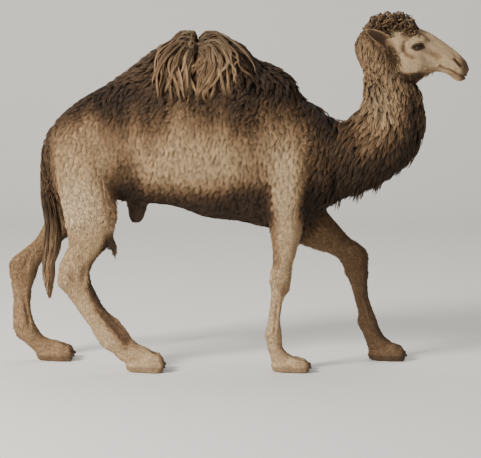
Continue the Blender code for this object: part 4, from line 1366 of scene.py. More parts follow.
# %% The tree that lays the short coat
def short_coat_tree():
    """The tree: skin in, short coat out."""
    tree = bpy.data.node_groups.new("short_coat", "GeometryNodeTree")
    inputs = (
        ("Skin", "NodeSocketGeometry"),
        ("Tuft", "NodeSocketObject"),
        ("Cover", "NodeSocketString"),
        ("Spacing", "NodeSocketFloat"),
        ("Tuft width", "NodeSocketFloat"),
        ("Seed", "NodeSocketInt"),
        ("Finish", "NodeSocketMaterial"),
    )
    for name, kind in inputs:
        tree.interface.new_socket(name, in_out="INPUT", socket_type=kind)
    tree.interface.new_socket("Coat", in_out="OUTPUT", socket_type="NodeSocketGeometry")
    entry, leave = tree.nodes.new("NodeGroupInput"), tree.nodes.new("NodeGroupOutput")
    given = {name: Formula(tree, entry.outputs[name]) for name, _ in inputs}
    start = given["Skin"]

    def field(name, kind="FLOAT"):
        """An attribute of the skin, or of a tuft."""
        return start.node("GeometryNodeInputNamedAttribute", {"data_type": kind}, {"Name": name})

    def chance(low, high, seed):
        """A random number for each tuft."""
        made = start.node("FunctionNodeRandomValue", {"data_type": "FLOAT"}, {2: low, 3: high}, 1)
        start.feed(made.socket.node.inputs["Seed"], given["Seed"] + seed)
        return made

    def named(geometry, name, kind, domain, value):
        """The geometry with a value stored on it as a named attribute."""
        values = {"Geometry": geometry, "Name": name, "Value": value}
        kinds = {"data_type": kind, "domain": domain}
        return start.node("GeometryNodeStoreNamedAttribute", kinds, values)

    where = {
        "Mesh": start,
        "Distance Min": given["Spacing"],
        "Density Max": 1.1 / (given["Spacing"] * given["Spacing"]),
        "Density Factor": field(given["Cover"]),
        "Seed": given["Seed"],
    }
    evenly = {"distribute_method": "POISSON"}
    scatter = start.node("GeometryNodeDistributePointsOnFaces", evenly, where)
    normal = Formula(tree, scatter.socket.node.outputs["Normal"])
    points = named(scatter, "tone", "FLOAT", "POINT", chance(0.0, 1.0, 1))
    upright = start.node("FunctionNodeAlignRotationToVector", {"axis": "Z"}, {"Vector": normal})
    along_lie = {"Rotation": upright, "Vector": field("lie", "FLOAT_VECTOR")}
    round_root = {"axis": "X", "pivot_axis": "Z"}
    combed = start.node("FunctionNodeAlignRotationToVector", round_root, along_lie)
    pitch, yaw = chance(-0.06, 0.03, 2), chance(-0.28, 0.28, 3)
    sway = start.node("ShaderNodeCombineXYZ", {}, {"Y": pitch, "Z": yaw})
    swayed = {"Rotation": combed, "Rotate By": sway}
    turned = start.node("FunctionNodeRotateRotation", {"rotation_space": "LOCAL"}, swayed)
    sizes = {
        "X": field("coat_length") * chance(0.75, 1.2, 4),
        "Y": given["Tuft width"] * chance(0.8, 1.25, 5),
        "Z": field("coat_depth") * chance(0.6, 1.0, 6),
    }
    size = start.node("ShaderNodeCombineXYZ", {}, sizes)
    shape = start.node("GeometryNodeObjectInfo", {}, {"Object": given["Tuft"]})
    geometry = Formula(tree, shape.socket.node.outputs["Geometry"])
    placed = {"Points": points, "Instance": geometry, "Rotation": turned, "Scale": size}
    tufts = start.node("GeometryNodeInstanceOnPoints", {}, placed)
    real = start.node("GeometryNodeRealizeInstances", {}, {0: tufts})
    patch = field("unwrap", "FLOAT_VECTOR") + PATCH * field("patch", "FLOAT_VECTOR")
    mapped = named(real, "OFBake", "FLOAT2", "CORNER", patch)
    soft = start.node("GeometryNodeSetShadeSmooth", {}, {0: mapped})
    done = start.node("GeometryNodeSetMaterial", {}, {"Geometry": soft, "Material": given["Finish"]})
    tree.links.new(done.socket, leave.inputs["Coat"])
    return tree


short_tree = short_coat_tree()
HELPERS = ("cover", "lie", "coat_l", "coat_d", "patch", "unwrap")  # not needed once a coat is laid
print("nodes in the tree:", len(short_tree.nodes))


# %% Laying a piece of short coat
def grow(name, cover, tuft, spacing, width, slot, seed, made_of=short_finish):
    """Lays one piece of short coat, where cover is the share of hair at each point."""
    store(skin.data, "cover_" + name, "FLOAT", np.clip(cover, 0.0, 1.0))
    obj = link(name, skin.data.copy())
    layer = obj.modifiers.new("coat", "NODES")
    layer.node_group = short_tree
    sockets = {item.name: item.identifier for item in short_tree.interface.items_tree}
    values = {"Tuft": tuft, "Cover": "cover_" + name, "Spacing": spacing, "Tuft width": width}
    values.update({"Seed": seed, "Finish": made_of})
    for label, value in values.items():
        layer[sockets[label]] = value
    settled(obj)
    attributes = obj.data.attributes
    for unused in [a.name for a in attributes if a.name.startswith(HELPERS)]:
        attributes.remove(attributes[unused])
    obj.data.name = name
    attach(obj, "root")
    coat_pieces.append(obj)
    print(name, "triangles:", len(obj.data.polygons))
    return obj

# %% [markdown]
# ## Where the short coat grows
#
# Lids, lips, soles and the pad under the breast are bare, and where the wool is thick there is
# no short coat. The rest is laid in pieces: flanks and quarters with long tufts, legs and face
# with finer ones that stand closer.

# %% Short coat on flanks, legs and face
bare = np.zeros(len(x))
bare += lids
bare += head_share * ramp(x - 0.25 * (z - 1.86), 1.376, 1.392)  # lips and end of the nose
pad_low, pad_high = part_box("chest_pad")
over_pad = (abs(y) < pad_high.y) * (x > pad_low.x) * (x < pad_high.x)
bare += ramp(z, pad_low.z + 0.05, pad_low.z + 0.02) * over_pad
bare += ramp(z, 0.046, 0.030)  # soles
short = np.clip(1.5 * (1.0 - wool), 0.0, 1.0) * np.clip(1.0 - bare, 0.0, 1.0)
long_tuft, fine_tuft = make_tuft(blades=3, rings=4), make_tuft(blades=2, rings=3)
on_trunk = short * np.clip(trunk_and_thigh, 0, 1)
on_legs = short * np.clip(legs, 0, 1)
on_face = short * np.clip(head_share + part_share["ear_right"], 0, 1)
hindmost = ramp(x, -0.55, -0.60)
body_look = (long_tuft, 0.0149, 0.0117, "coat_fawn")  # tuft, spacing, width and slot
leg_look = (fine_tuft, 0.0096, 0.0070, "coat_pale")
face_look = (fine_tuft, 0.0054, 0.0036, "coat_pale")
for side, word in WORDS:
    this_side = ramp(side * y, -0.004, 0.004)
    grow("coat_flank_" + word, on_trunk * this_side * (1 - hindmost), *body_look, 3)
    grow("coat_quarter_" + word, on_trunk * this_side * hindmost, *body_look, 5)
grow("coat_fore_legs", on_legs * ramp(x, 0.0, 0.1), *leg_look, 7, leg_finish)
grow("coat_hind_legs", on_legs * ramp(x, 0.1, 0.0), *leg_look, 9, leg_finish)
grow("coat_face", on_face, *face_look, 13, face_finish)
for tuft in (long_tuft, fine_tuft):
    bpy.data.objects.remove(tuft)

# %% [markdown]
# ## Wool
#
# On the hump, neck and breast the hair is long and wavy, and hangs together in locks as wide
# as two fingers. A lock starts at a root on the skin and walks over it, step by step, the way
# the coat lies there, so that it follows every hollow. Its strands share one wave, so that the
# eye reads them as one lock.

# %% Roots spread over the skin
def rooted(weight, spacing, seed):
    """Roots about one spacing apart where the weight is 1, and fewer where it is less."""
    chance = np.random.default_rng(seed)
    wanted = triangle_area * weight[triangles].mean(axis=1) / spacing**2
    total = np.cumsum(wanted)
    marks = np.arange(chance.uniform(0.2, 0.8), total[-1], 1.0)
    chosen = np.minimum(np.searchsorted(total, marks), len(triangles) - 1)
    corner = chance.dirichlet((1.0, 1.0, 1.0), len(chosen))

    def mixed(values):
        return np.einsum("ij,ijk->ik", corner, values.reshape(len(values), -1)[triangles[chosen]])

    return {
        "point": mixed(surface.points),
        "normal": unit(mixed(normals)),
        "dark": mixed(dark)[:, 0],
        "length": mixed(coat_length)[:, 0],
        "depth": mixed(coat_depth)[:, 0],
        "place": np.einsum("ij,ijk->ik", corner, unwrap[triangle_loops[chosen]]),
    }

# %% [markdown]
# ## Walking over the skin
#
# To find the skin under a free place quickly, its points are put in a tree. A lock walks in
# short steps: each goes along the lie of the coat at the nearest point, and is then set back
# on the skin.

# %% Walking
skin_points = KDTree(len(surface.points))
for i, point in enumerate(surface.points):
    skin_points.insert(point, i)
skin_points.balance()


def nearest(points):
    """The number of the skin's point nearest to each place."""
    return np.array([skin_points.find(point)[1] for point in points])


def turned(vectors, axes, angles):
    """Vectors turned round their axes, which are square to them."""
    cos, sin = np.cos(angles)[:, None], np.sin(angles)[:, None]
    return vectors * cos + np.cross(axes, vectors) * sin


def walk(root, length, rings, swirl):
    """Lines over the skin from the roots, and the skin's normal along them."""
    place, up = root["point"].copy(), root["normal"].copy()
    lines, ups = [place.copy()], [up.copy()]
    near = nearest(place)
    for _ in range(rings - 1):
        ahead = turned(lie[near], normals[near], swirl)
        place = place + ahead * (length / (rings - 1))[:, None]
        near = nearest(place)
        gap = ((place - surface.points[near]) * normals[near]).sum(axis=1)
        place = place - normals[near] * gap[:, None]
        up = unit(0.5 * up + 0.5 * normals[near])
        lines.append(place.copy())
        ups.append(up.copy())
    return np.stack(lines, axis=1), np.stack(ups, axis=1)


# %% Locks of several strands
def bundle(lines, ups, each, wide, chance, wave=0.006, waves=1.3, close=0.7, curl=0.5, thick=0.4):
    """Several strands round each centre line, waving together and meeting at the tip."""
    count, rings = lines.shape[:2]
    t = np.linspace(0.0, 1.0, rings)
    ahead = unit(np.gradient(lines, axis=1))
    across = unit(np.cross(ahead, ups))
    phase = chance.uniform(0.0, 2 * math.pi, (count, 1, 1))
    turns = 2 * math.pi * waves * chance.uniform(0.8, 1.25, (count, 1, 1)) * t[None, None]
    grow_in = wave * chance.uniform(0.6, 1.3, (count, 1, 1)) * (0.25 + 0.75 * t)[None, None]
    own = chance.normal(0.0, 0.35, (count, each, 1))
    swing = grow_in * np.sin(turns + phase + own)
    lift = grow_in * curl * np.cos(turns + phase + own)
    places = np.linspace(-1.0, 1.0, each)[None, :, None] if each > 1 else np.zeros((1, 1, 1))
    spread = wide * places * (1.0 - close * t)[None, None]
    spread = spread + chance.normal(0.0, 0.12 * wide, (count, each, 1)) * t[None, None]
    high = wide * thick * chance.uniform(-0.6, 1.0, (count, each, 1)) * np.sin(math.pi * t)[None, None]
    shape = lines[:, None] + across[:, None] * (swing + spread)[..., None]
    shape = shape + ups[:, None] * (lift + high)[..., None]
    shape = shape.reshape(count * each, rings, 3)
    return shape, np.repeat(ups, each, axis=0)


def lock_piece(name, lines, ups, root, each, wide, radius, slot, seed, **look):
    """One piece of locks along these lines, coloured from their roots."""
    chance = np.random.default_rng(seed)
    shape, over = bundle(lines, ups, each, wide, chance, **look)
    count = len(lines)
    points, faces, share, patch = strands(shape, over, radius * chance.uniform(0.8, 1.2, len(shape)))
    per_strand = len(points) // len(shape)
    lock_tone = np.repeat(chance.normal(0.5, 0.24, count), each)
    tone = np.clip(lock_tone + chance.normal(0.0, 0.12, len(shape)), 0.0, 1.0)
    colour = coat_colour(np.repeat(np.clip(root["dark"], 0.0, 1.0), each))
    place = np.repeat(root["place"], each * per_strand, axis=0) + PATCH * (patch - 0.5)
    tone, colour = np.repeat(tone, per_strand), np.repeat(colour, per_strand, axis=0)
    return coat_piece(name, points, faces, share, tone, colour, place)


def draped(lines, least, most=None):
    """The same lines, kept between a least and a most height over the skin.

    A point moves no further than the two limits, which keeps a stray line from jumping."""
    furthest_in, furthest_out = -0.120, 0.200
    flat = lines.reshape(-1, 3)
    near = nearest(flat)
    height = ((flat - surface.points[near]) * normals[near]).sum(axis=1)
    push = np.maximum(np.repeat(least, lines.shape[1]) - height, 0.0)
    if most is not None:
        push += np.minimum(most.ravel() - height, 0.0)
    push = np.clip(push, furthest_in, furthest_out)[:, None]
    moved = (flat + normals[near] * push).reshape(lines.shape)
    for _ in range(2):
        moved[:, 1:-1] = (moved[:, :-2] + 2.0 * moved[:, 1:-1] + moved[:, 2:]) / 4.0
    return moved


# %% A piece of wool
def wool_piece(name, weight, spacing, slot, seed, each=4, wide=0.011, radius=0.0042, sag=0.25, **look):
    """Locks lying over the skin, as long and deep as the coat is at their roots."""
    rings = 7
    chance = np.random.default_rng(seed + 1)
    root = rooted(weight, spacing, seed)
    count = len(root["point"])
    x, y, z = root["point"].T
    swirl = 0.30 * np.sin(11.0 * x + 6.0 * z) + chance.normal(0.0, 0.16, count)
    length = root["length"] * chance.uniform(0.75, 1.2, count)
    lines, ups = walk(root, length, rings, swirl)
    t = np.linspace(0.0, 1.0, rings)
    rise = -0.06 + 0.96 * (1.0 - (1.0 - t) ** 2.2)
    high = root["depth"] * chance.uniform(0.62, 0.95, count)
    lines = lines + ups * (high[:, None] * rise[None])[..., None]
    hang = np.clip(-ups[:, :, 2], 0.0, 1.0) * length[:, None] * sag * t[None] ** 2
    lines[:, :, 2] -= hang
    lines = draped(lines, np.full(count, -0.012), high[:, None] + 0.006 + 0.030 * t[None])
    return lock_piece(name, lines, ups, root, each, wide, radius, slot, seed + 2, **look)


# %% Wool on hump, neck and breast
back_wool = wool * (hump_share + trunk_share * topline)
breast_wool = wool * trunk_share * (1.0 - topline)
neck_wool = wool * np.clip(neck_share + gullet, 0.0, 1.0)
nape_wool = wool * nape
tail_wool = wool * part_share["tail"]
for side, word in WORDS:
    this_side = ramp(side * y, -0.004, 0.004)
    on_back, on_neck = 1.3 * back_wool * this_side, neck_wool * this_side
    wool_piece("wool_back_" + word, on_back, spacing=0.0266, slot="wool_brown", seed=21 + side)
    wool_piece("wool_neck_" + word, on_neck, spacing=0.0229, slot="wool_brown", seed=31 + side)
wool_piece("wool_breast", 1.2 * breast_wool, spacing=0.0272, slot="wool_brown", seed=41)
wool_piece("wool_nape", nape_wool, spacing=0.013, slot="wool_brown", seed=45,
           wide=0.006, radius=0.0026, sag=0.0, wave=0.004)
wool_piece("wool_tail", tail_wool, spacing=0.014, slot="wool_dark", seed=47,
           wide=0.005, radius=0.0030, wave=0.003)

# %% [markdown]
# ## Beard, jaw fringe and cheek curls
#
# These locks leave the skin and hang free. The beard hangs from the underside of the neck in
# points, because its locks are long in some places along the neck and short between them.

# %% Hanging locks
def hanging(name, weight, spacing, longest, slot, seed, outwards=0.35, back=0.25, rings=7, each=4,
            wide=0.006, radius=0.0022, clumped=0.0, **look):
    """Locks that leave the skin and hang in the air, clumped into points if told."""
    first_point, from_point_to_point = 0.77, 0.13
    chance = np.random.default_rng(seed)
    root = rooted(weight, spacing, seed + 1)
    count = len(root["point"])
    wave_of_points = 2 * math.pi * (root["point"][:, 0] - first_point) / from_point_to_point
    clump = 1.0 - clumped * (0.5 - 0.5 * np.cos(wave_of_points))
    length = (longest * clump * chance.uniform(0.55, 1.0, count))[:, None, None]
    t = np.linspace(0.0, 1.0, rings)[None, :, None]
    down = unit(np.array((-back, 0.0, -1.0)) + chance.normal(0.0, 0.10, (count, 3)))[:, None]
    over = root["normal"][:, None]
    lines = root["point"][:, None] - 0.004 * over
    lines = lines + length * (outwards * over * np.sin(0.5 * math.pi * t) + down * t**1.35)
    ups = np.repeat(unit(0.4 * over + (0.6, 0.0, 0.0)), rings, axis=1)
    lines = draped(lines, np.full(count, -0.004))
    return lock_piece(name, lines, ups, root, each, wide, radius, slot, seed + 2, **look)


jaw = head_share * ramp(nz, -0.35, -0.75) * ramp(x, 1.24, 1.14) * ramp(x, 0.98, 1.04)
jaw *= ramp(z, 1.90, 1.87)
hanging("jaw_fringe", jaw, spacing=0.0105, longest=0.028, slot="coat_pale", seed=81,
        back=0.6, radius=0.0016, rings=6, wave=0.002)
hanging("cheek_curls", curls, spacing=0.0095, longest=0.034, slot="wool_brown", seed=84,
        outwards=0.5, back=0.1, wave=0.004, rings=8)
under_neck = neck_share * ramp(nz, -0.15, -0.55) * ramp(x, 0.52, 0.62) * ramp(x, 1.06, 0.98)
under_neck *= ramp(z, 1.50, 1.35)
hanging("beard", under_neck, spacing=0.022, longest=0.150, slot="wool_brown", seed=87,
        outwards=0.06, back=0.32, each=5, wide=0.013, radius=0.0036, clumped=0.75, wave=0.006)
print("share of jaw with fringe:", round(float(jaw.mean()), 3))

# %% [markdown]
# ## The mop on the hump
#
# On top of the hump the wool is longest. It parts along a line that runs over the crest from
# side to side, and falls forwards and backwards from it like a fountain. Each lock is a free
# curve, up and over and down. Where it would dip into the hump it is pushed out, and where it
# would fly off it is drawn in, so that it drapes. Every fourth lock falls over the side, which
# closes the parting.

# %% The fall of the mop
unwrap_at = np.zeros((len(surface.points), 2))
unwrap_at[triangles.ravel()] = unwrap[triangle_loops.ravel()]
mop_reach = (mop_high - mop_low) / 2
mop_drop = mop_high.z - mop_low.z
mop_ceiling = mop_high.z - 0.050  # above this the tops of the locks are pressed together
soft_room = 0.042  # the most that they may rise over it


def mop(name, count, rings, seed, side):
    """The locks of the mop on one side of the body."""
    chance = np.random.default_rng(seed)
    t = np.linspace(0.0, 1.0, rings)[None]
    along = chance.uniform(0.0, 1.0, count)  # along the parting, from the crest outwards
    forwards = np.arange(count) % 2 == 1
    # way is how far a lock falls forwards, above 0, or backwards, below 0
    way = np.where(forwards, 1.0, -1.0) * chance.uniform(0.25, 1.0, count) ** np.where(forwards, 0.6, 1.0)
    over_side = np.arange(count) % 4 == 3
    along = np.where(over_side, 0.55 + 0.45 * along, along)
    way = np.where(over_side, 0.40 * way + chance.normal(0.0, 0.08, count), way)
    layer = chance.uniform(0.0, 1.0, count)  # 0 for the innermost locks, 1 for the outermost
    stop = np.clip(chance.normal(0.86, 0.14, count), 0.5, 1.0) * (1.0 - 0.12 * along)
    reach = mop_reach.x * (0.62 + 0.42 * layer) * way * np.where(way > 0, 1.34, 1.0)
    aside = side * mop_reach.y * (0.02 + 0.62 * along)
    start_z = mop_high.z - 0.076 - 0.11 * along**1.6
    arch = np.where(way > 0, 0.102, 0.094) * (0.6 + 0.4 * layer) * np.where(over_side, 0.5, 1.0)
    out = np.sin(0.5 * math.pi * np.clip(1.35 * t, 0.0, 1.0)) ** 0.9
    curled_back = np.sin(0.90 * math.pi * t) ** 0.8
    out = np.where(over_side[:, None], curled_back, out)
    down = np.clip(t * stop[:, None] - 0.10, 0.0, 1.0) ** 1.55 * mop_drop * 1.05
    lift = arch[:, None] * np.sin(math.pi * np.clip(2.4 * t, 0.0, 1.0))
    hook = 0.035 * chance.uniform(-0.6, 1.4, (count, 1)) * np.clip(t - 0.62, 0.0, 1.0) ** 1.5
    hooked = np.sign(way)[:, None] * 8 * hook * stop[:, None]
    lock_x = mop_middle.x + 0.012 * way[:, None] + reach[:, None] * out - hooked
    lock_y = side * 0.004 + aside[:, None] * (0.60 + 0.42 * out)
    lines = np.stack([lock_x, lock_y, start_z[:, None] + lift - down], axis=-1)
    over_top = np.maximum(lines[:, :, 2] - mop_ceiling, 0.0)
    lines[:, :, 2] += soft_room * (1.0 - np.exp(-over_top / soft_room)) - over_top
    most = (0.13 - 0.108 * np.clip(1.6 * t - 0.3, 0.0, 1.0)) + 0.022 * layer[:, None]
    lines = draped(lines, 0.020 + 0.030 * layer, most)
    middle = np.array((mop_middle.x, 0.0, mop_high.z - 0.30))
    near = nearest(lines[:, rings // 2])
    root = {
        "dark": np.clip(chance.normal(0.52, 0.13, count), 0.0, 1.0),
        "place": unwrap_at[near] + chance.uniform(-1.0, 1.0, (count, 2)) * 2 * PATCH,
    }
    return lock_piece(name, lines, unit(lines - middle), root, each=7, wide=0.0145, radius=0.0040,
                      slot="wool_brown", seed=seed + 1, wave=0.014, waves=1.9, curl=0.5, close=0.8)


mop("mop_right", count=120, rings=14, seed=51, side=RIGHT)
mop("mop_left", count=120, rings=14, seed=53, side=LEFT)

# %% [markdown]
# ## The curly cap
#
# Between the ears the hair is tightly curled. Each curl rises from the skin and winds like a
# spring, and a ray from outside finds how high the cap of the solid model stands there, so
# that the curls fill that shape.

# %% Curls under the cap
cap_tree = BVHTree.FromObject(frame["nodes"]["hair_cap"], bpy.context.evaluated_depsgraph_get())
cap_low, cap_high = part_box("hair_cap")


def cap_height(points, normals, far=0.12):
    """How far the cap stands above each point, or 0 where it isn't."""
    heights = np.zeros(len(points))
    for i in np.nonzero(in_box(points, cap_low, cap_high))[0]:
        hit = cap_tree.ray_cast(Vector(points[i] + normals[i] * far), Vector(-normals[i]), far)
        if hit[0] is not None:
            heights[i] = far - hit[3]
    return heights


print("cap, mm high:", round(1000 * (cap_high.z - cap_low.z)))

# %% The curls
over_skin = cap_height(surface.points, normals)
cap_root = rooted((over_skin > 0.006).astype(float), spacing=0.0114, seed=61)
cap_chance = np.random.default_rng(62)
cap_count = len(cap_root["point"])
standing = np.clip(cap_height(cap_root["point"], cap_root["normal"]), 0.014, 0.105)
t = np.linspace(0.0, 1.0, 12)
near = nearest(cap_root["point"])
lean_to = unit(lie[near] + cap_chance.normal(0.0, 0.55, (cap_count, 3)))
lean_to = unit(lean_to - cap_root["normal"] * (lean_to * cap_root["normal"]).sum(axis=1)[:, None])
rise = standing * cap_chance.uniform(0.0, 1.0, cap_count) ** 0.45
height = rise[:, None] * (0.32 + 0.68 * np.sin(0.80 * math.pi * t))[None]
lines = cap_root["point"][:, None] + cap_root["normal"][:, None] * height[..., None]
lines = lines + lean_to[:, None] * (0.052 * t)[None, :, None]
near = nearest(lines.reshape(-1, 3))
room = np.maximum(over_skin[near] - 0.006, 0.010).reshape(lines.shape[:2])
lines = draped(lines, np.full(cap_count, -0.004), room)
cap_root["dark"] = np.clip(cap_chance.normal(0.71, 0.10, cap_count), 0.0, 1.0)
cap_ups = np.repeat(cap_root["normal"][:, None], len(t), axis=1)
lock_piece("curly_cap", lines, cap_ups, cap_root, each=3, wide=0.0055, radius=0.0032,
           slot="wool_brown", seed=63, wave=0.0062, waves=2.3, curl=1.0, close=0.7)

# %% [markdown]
# ## The tassel
#
# The tail ends in a brush of long wavy hair. Its locks start at different heights round the
# lower part of the tail and hang down, held by the outline of the solid brush. A plane cut
# through the solid brush and tail at each of 24 heights gives that outline.

# %% The outline of the brush
brush_low, brush_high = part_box("tail_tassel")
reach_up = 0.16  # how far up the tail the locks of the tassel begin
levels = np.linspace(brush_low.z + 0.003, brush_high.z + reach_up, 24)
brush_edges = []
for name in ("tail_tassel", "tail"):
    mesh = frame["nodes"][name].data
    corners = np.array([v.co for v in mesh.vertices])
    brush_edges.append(corners[[list(e.vertices) for e in mesh.edges]])
brush_edges = np.concatenate(brush_edges)


def brush_slice(level):
    """Middle and half widths of the solid brush, where a level plane cuts its edges."""
    a, b = brush_edges[:, 0], brush_edges[:, 1]
    cut = (a[:, 2] - level) * (b[:, 2] - level) < 0
    share = ((level - a[cut, 2]) / (b[cut, 2] - a[cut, 2]))[:, None]
    ring = a[cut] + share * (b[cut] - a[cut])
    low, high = ring.min(axis=0), ring.max(axis=0)
    return [*(low + high)[:2] / 2, *(high - low)[:2] / 2]


slices = np.array([brush_slice(level) for level in levels]).T


def brush_at(z):
    """Middle and half widths of the brush at any heights."""
    return np.stack([np.interp(z, levels, column) for column in slices], axis=-1)


print("brush, mm long:", round(1000 * (brush_high.z - brush_low.z)))

# %% Locks of the tassel
tassel_chance = np.random.default_rng(71)
tassel_count = 230
start_z = brush_high.z + tassel_chance.uniform(-0.30, reach_up, tassel_count)
end_z = np.minimum(brush_low.z + np.abs(tassel_chance.normal(0.0, 0.10, tassel_count)), start_z - 0.10)
t = np.linspace(0.0, 1.0, 9)
heights = start_z[:, None] + (end_z - start_z)[:, None] * t[None]
angle = tassel_chance.uniform(0.0, 2 * math.pi, tassel_count)[:, None]
held = brush_at(heights)
out = (0.62 + 0.30 * t[None]) * np.sqrt(tassel_chance.uniform(0.05, 1.0, (tassel_count, 1)))
over_wool = 0.015 * ramp(heights, brush_high.z - 0.12, brush_high.z + 0.01)
over_wool = over_wool - 0.024 * ramp(t[None], 0.12, 0.0)
lock_x = held[..., 0] + (held[..., 2] * out + over_wool) * np.cos(angle)
lock_y = held[..., 1] + (held[..., 3] * out + over_wool) * np.sin(angle)
lines = np.stack([lock_x, lock_y, heights], axis=-1)
round_ups = np.stack([np.cos(angle) + 0 * t, np.sin(angle) + 0 * t, 0 * t + 0 * angle], axis=-1)
tail_under = nearest(lines[:, 0])
lock_dark = tassel_chance.normal(0.64, 0.09, tassel_count) + 0.8 * (start_z - brush_high.z)
scatter = tassel_chance.uniform(-1.0, 1.0, (tassel_count, 2)) * 2 * PATCH
root = {"dark": np.clip(lock_dark, 0.0, 1.0), "place": unwrap_at[tail_under] + scatter}
lock_piece("tassel", lines, round_ups, root, each=4, wide=0.007, radius=0.0030,
           slot="wool_dark", seed=72, wave=0.009, waves=2.6, close=0.8)
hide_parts("hump_mop")
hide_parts("hair_cap")
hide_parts("tail_tassel")

# %% [markdown]
# ## Eyes
#
# An eyeball is a ball, so it is lofted from rings round the line of sight. Each point knows
# its angle from that line, and the finish uses the angle for a brown iris with a dark rim and
# a wide lying pupil. A clear coat gives the wet shine.

# %% The eyeballs
wet = dict(Coat_Weight=0.45, Coat_Roughness=0.04, Specular_IOR_Level=0.25)
eye_finish, eye_shader, start = finish("eye", (0.03, 0.02, 0.014), 0.20, **wet)
across = start.node("ShaderNodeAttribute", {"attribute_name": "across"}, output=2)
upwards = start.node("ShaderNodeAttribute", {"attribute_name": "upwards"}, output=2)
place = start.node("ShaderNodeTexCoord", output=OBJECT)
from_middle = (across * across + upwards * upwards) ** 0.5
pupil = ((across / 0.40) ** 2 + (upwards / 0.22) ** 2) ** 0.5
streaks = start.node("ShaderNodeTexNoise", {}, {"Vector": place, "Scale": 420.0, "Detail": 3.0})
IRIS = (
    (0.20, (0.030, 0.013, 0.006)),
    (0.55, (0.075, 0.034, 0.013)),
    (0.72, (0.014, 0.008, 0.005)),
    (0.95, (0.045, 0.030, 0.022)),
)
iris = start.node("ShaderNodeValToRGB", {"stops": IRIS}, {"Fac": from_middle + 0.10 * (streaks - 0.5)})
PUPIL = ((0.85, (0.0, 0.0, 0.0)), (1.0, (1.0, 1.0, 1.0)))
in_pupil = start.node("ShaderNodeValToRGB", {"stops": PUPIL}, {"Fac": pupil})
start.feed(eye_shader.inputs["Base Color"], iris * in_pupil)
under_lids = 0.0014  # how much smaller the ball is than the solid one, to lie inside the lids

for side, word in WORDS:
    gaze = unit(np.array((0.22, side * 1.0, -0.03)))
    level = unit(np.cross(gaze, (0.0, 0.0, 1.0)))
    upright = np.cross(level, gaze)
    polar = np.linspace(0.04, math.pi - 0.04, 40)[:, None, None]
    turn = np.linspace(0.0, 2 * math.pi, 48, endpoint=False)[None, :, None]
    rays = gaze * np.cos(polar) + np.sin(polar) * (level * np.cos(turn) + upright * np.sin(turn))
    ball = grid_object("eyeball_" + word, np.array(eyes[side]) + (eye_size - under_lids) * rays)
    flat_rays = unit(np.array([v.co for v in ball.data.vertices]) - np.array(eyes[side]))
    ahead = (flat_rays @ gaze) > 0
    store(ball.data, "across", "FLOAT", np.where(ahead, flat_rays @ level, 1.0))
    store(ball.data, "upwards", "FLOAT", np.where(ahead, flat_rays @ upright, 1.0))
    shade_smooth(ball)
    ball.data.materials.append(eye_finish)
    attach(ball, "root")
    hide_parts("eye_" + word)
    print("eyeball", word, "faces:", len(ball.data.polygons))

# %% [markdown]
# ## Lashes
#
# A camel has long lashes against the sand. They are single strands, set along both edges of the
# opening, and fanned out towards its corners. Those of the upper lid are twice as long.

# %% The lashes
t = np.linspace(0.0, 1.0, 6)
for side, word in WORDS:
    chance = np.random.default_rng(91)
    lines, ups = [], []
    for upper, count, longest in ((True, 84, 0.017), (False, 34, 0.008)):
        place = np.linspace(-0.86, 0.90, count) * lid_length
        over, under = lid_edges(place)
        up = (over if upper else under) + (0.0012 if upper else -0.0012)
        along = place + opening_ahead
        out = np.sqrt(np.clip((eye_size + 0.002) ** 2 - along**2 - up**2, 1e-6, None))
        x_at = eyes[side].x + along * math.cos(eye_tilt) - up * math.sin(eye_tilt)
        z_at = eyes[side].z + up * math.cos(eye_tilt) + along * math.sin(eye_tilt)
        root = np.stack([x_at, eyes[side].y + side * out, z_at], axis=-1)
        length = longest * chance.uniform(0.6, 1.0, count)[:, None, None]
        fan = place / lid_length * 0.45 + chance.normal(0.0, 0.10, count)
        rise = 0.35 if upper else -0.55
        aim_at = np.stack([fan, np.full(count, side * 1.0), np.full(count, rise)], axis=-1)
        sag = np.stack([fan * 0.6, np.zeros(count), np.full(count, -0.40 if upper else -0.2)], axis=-1)
        bend = t[None, :, None]
        lines.append(root[:, None] + length * (unit(aim_at)[:, None] * bend + sag[:, None] * bend**2))
        ups.append(np.tile((0.0, 0.0, 1.0), (count, 1)))
    lines, ups = np.concatenate(lines), np.concatenate(ups)
    points, faces, share, patch = strands(lines, ups, np.full(len(lines), 0.00055), flat=1.0)
    per_strand = len(points) // len(lines)
    at = nearest(lines[:, 0])
    place = np.repeat(unwrap_at[at], per_strand, axis=0) + PATCH * (patch - 0.5)
    tone = np.full(len(points), 0.3)
    colour = np.tile(coat_colour(0.97), (len(points), 1)).reshape(-1, 3)
    coat_piece("lashes_" + word, points, faces, share, tone, colour, place)

# %% [markdown]
# ## Nails
#
# Each toe ends in a small blunt nail. It is a loft of half round sections that grow from the
# skin and curve down to the ground, with growth rings.

# %% The nails
nail_finish, nail_shader, start = finish("nail", (0.10, 0.075, 0.055), 0.42)
place = start.node("ShaderNodeTexCoord", output=OBJECT)
rings_of_growth = start.node("ShaderNodeTexWave", {"bands_direction": "X"},
                             {"Vector": place, "Scale": 90.0, "Distortion": 3.0, "Detail": 2.0})
grain = start.node("ShaderNodeTexNoise", {}, {"Vector": place, "Scale": 180.0, "Detail": 3.0})
HORN = ((0.25, (0.026, 0.016, 0.010)), (0.75, (0.100, 0.062, 0.038)))
horn = start.node("ShaderNodeValToRGB", {"stops": HORN}, {"Fac": 0.5 * grain + 0.3 * rings_of_growth})
start.feed(nail_shader.inputs["Base Color"], horn)
start.feed(nail_shader.inputs["Roughness"], 0.48 + 0.25 * grain)
relief = {"Strength": 0.15, "Distance": 0.001, "Height": rings_of_growth}
start.feed(nail_shader.inputs["Normal"], start.node("ShaderNodeBump", {}, relief))
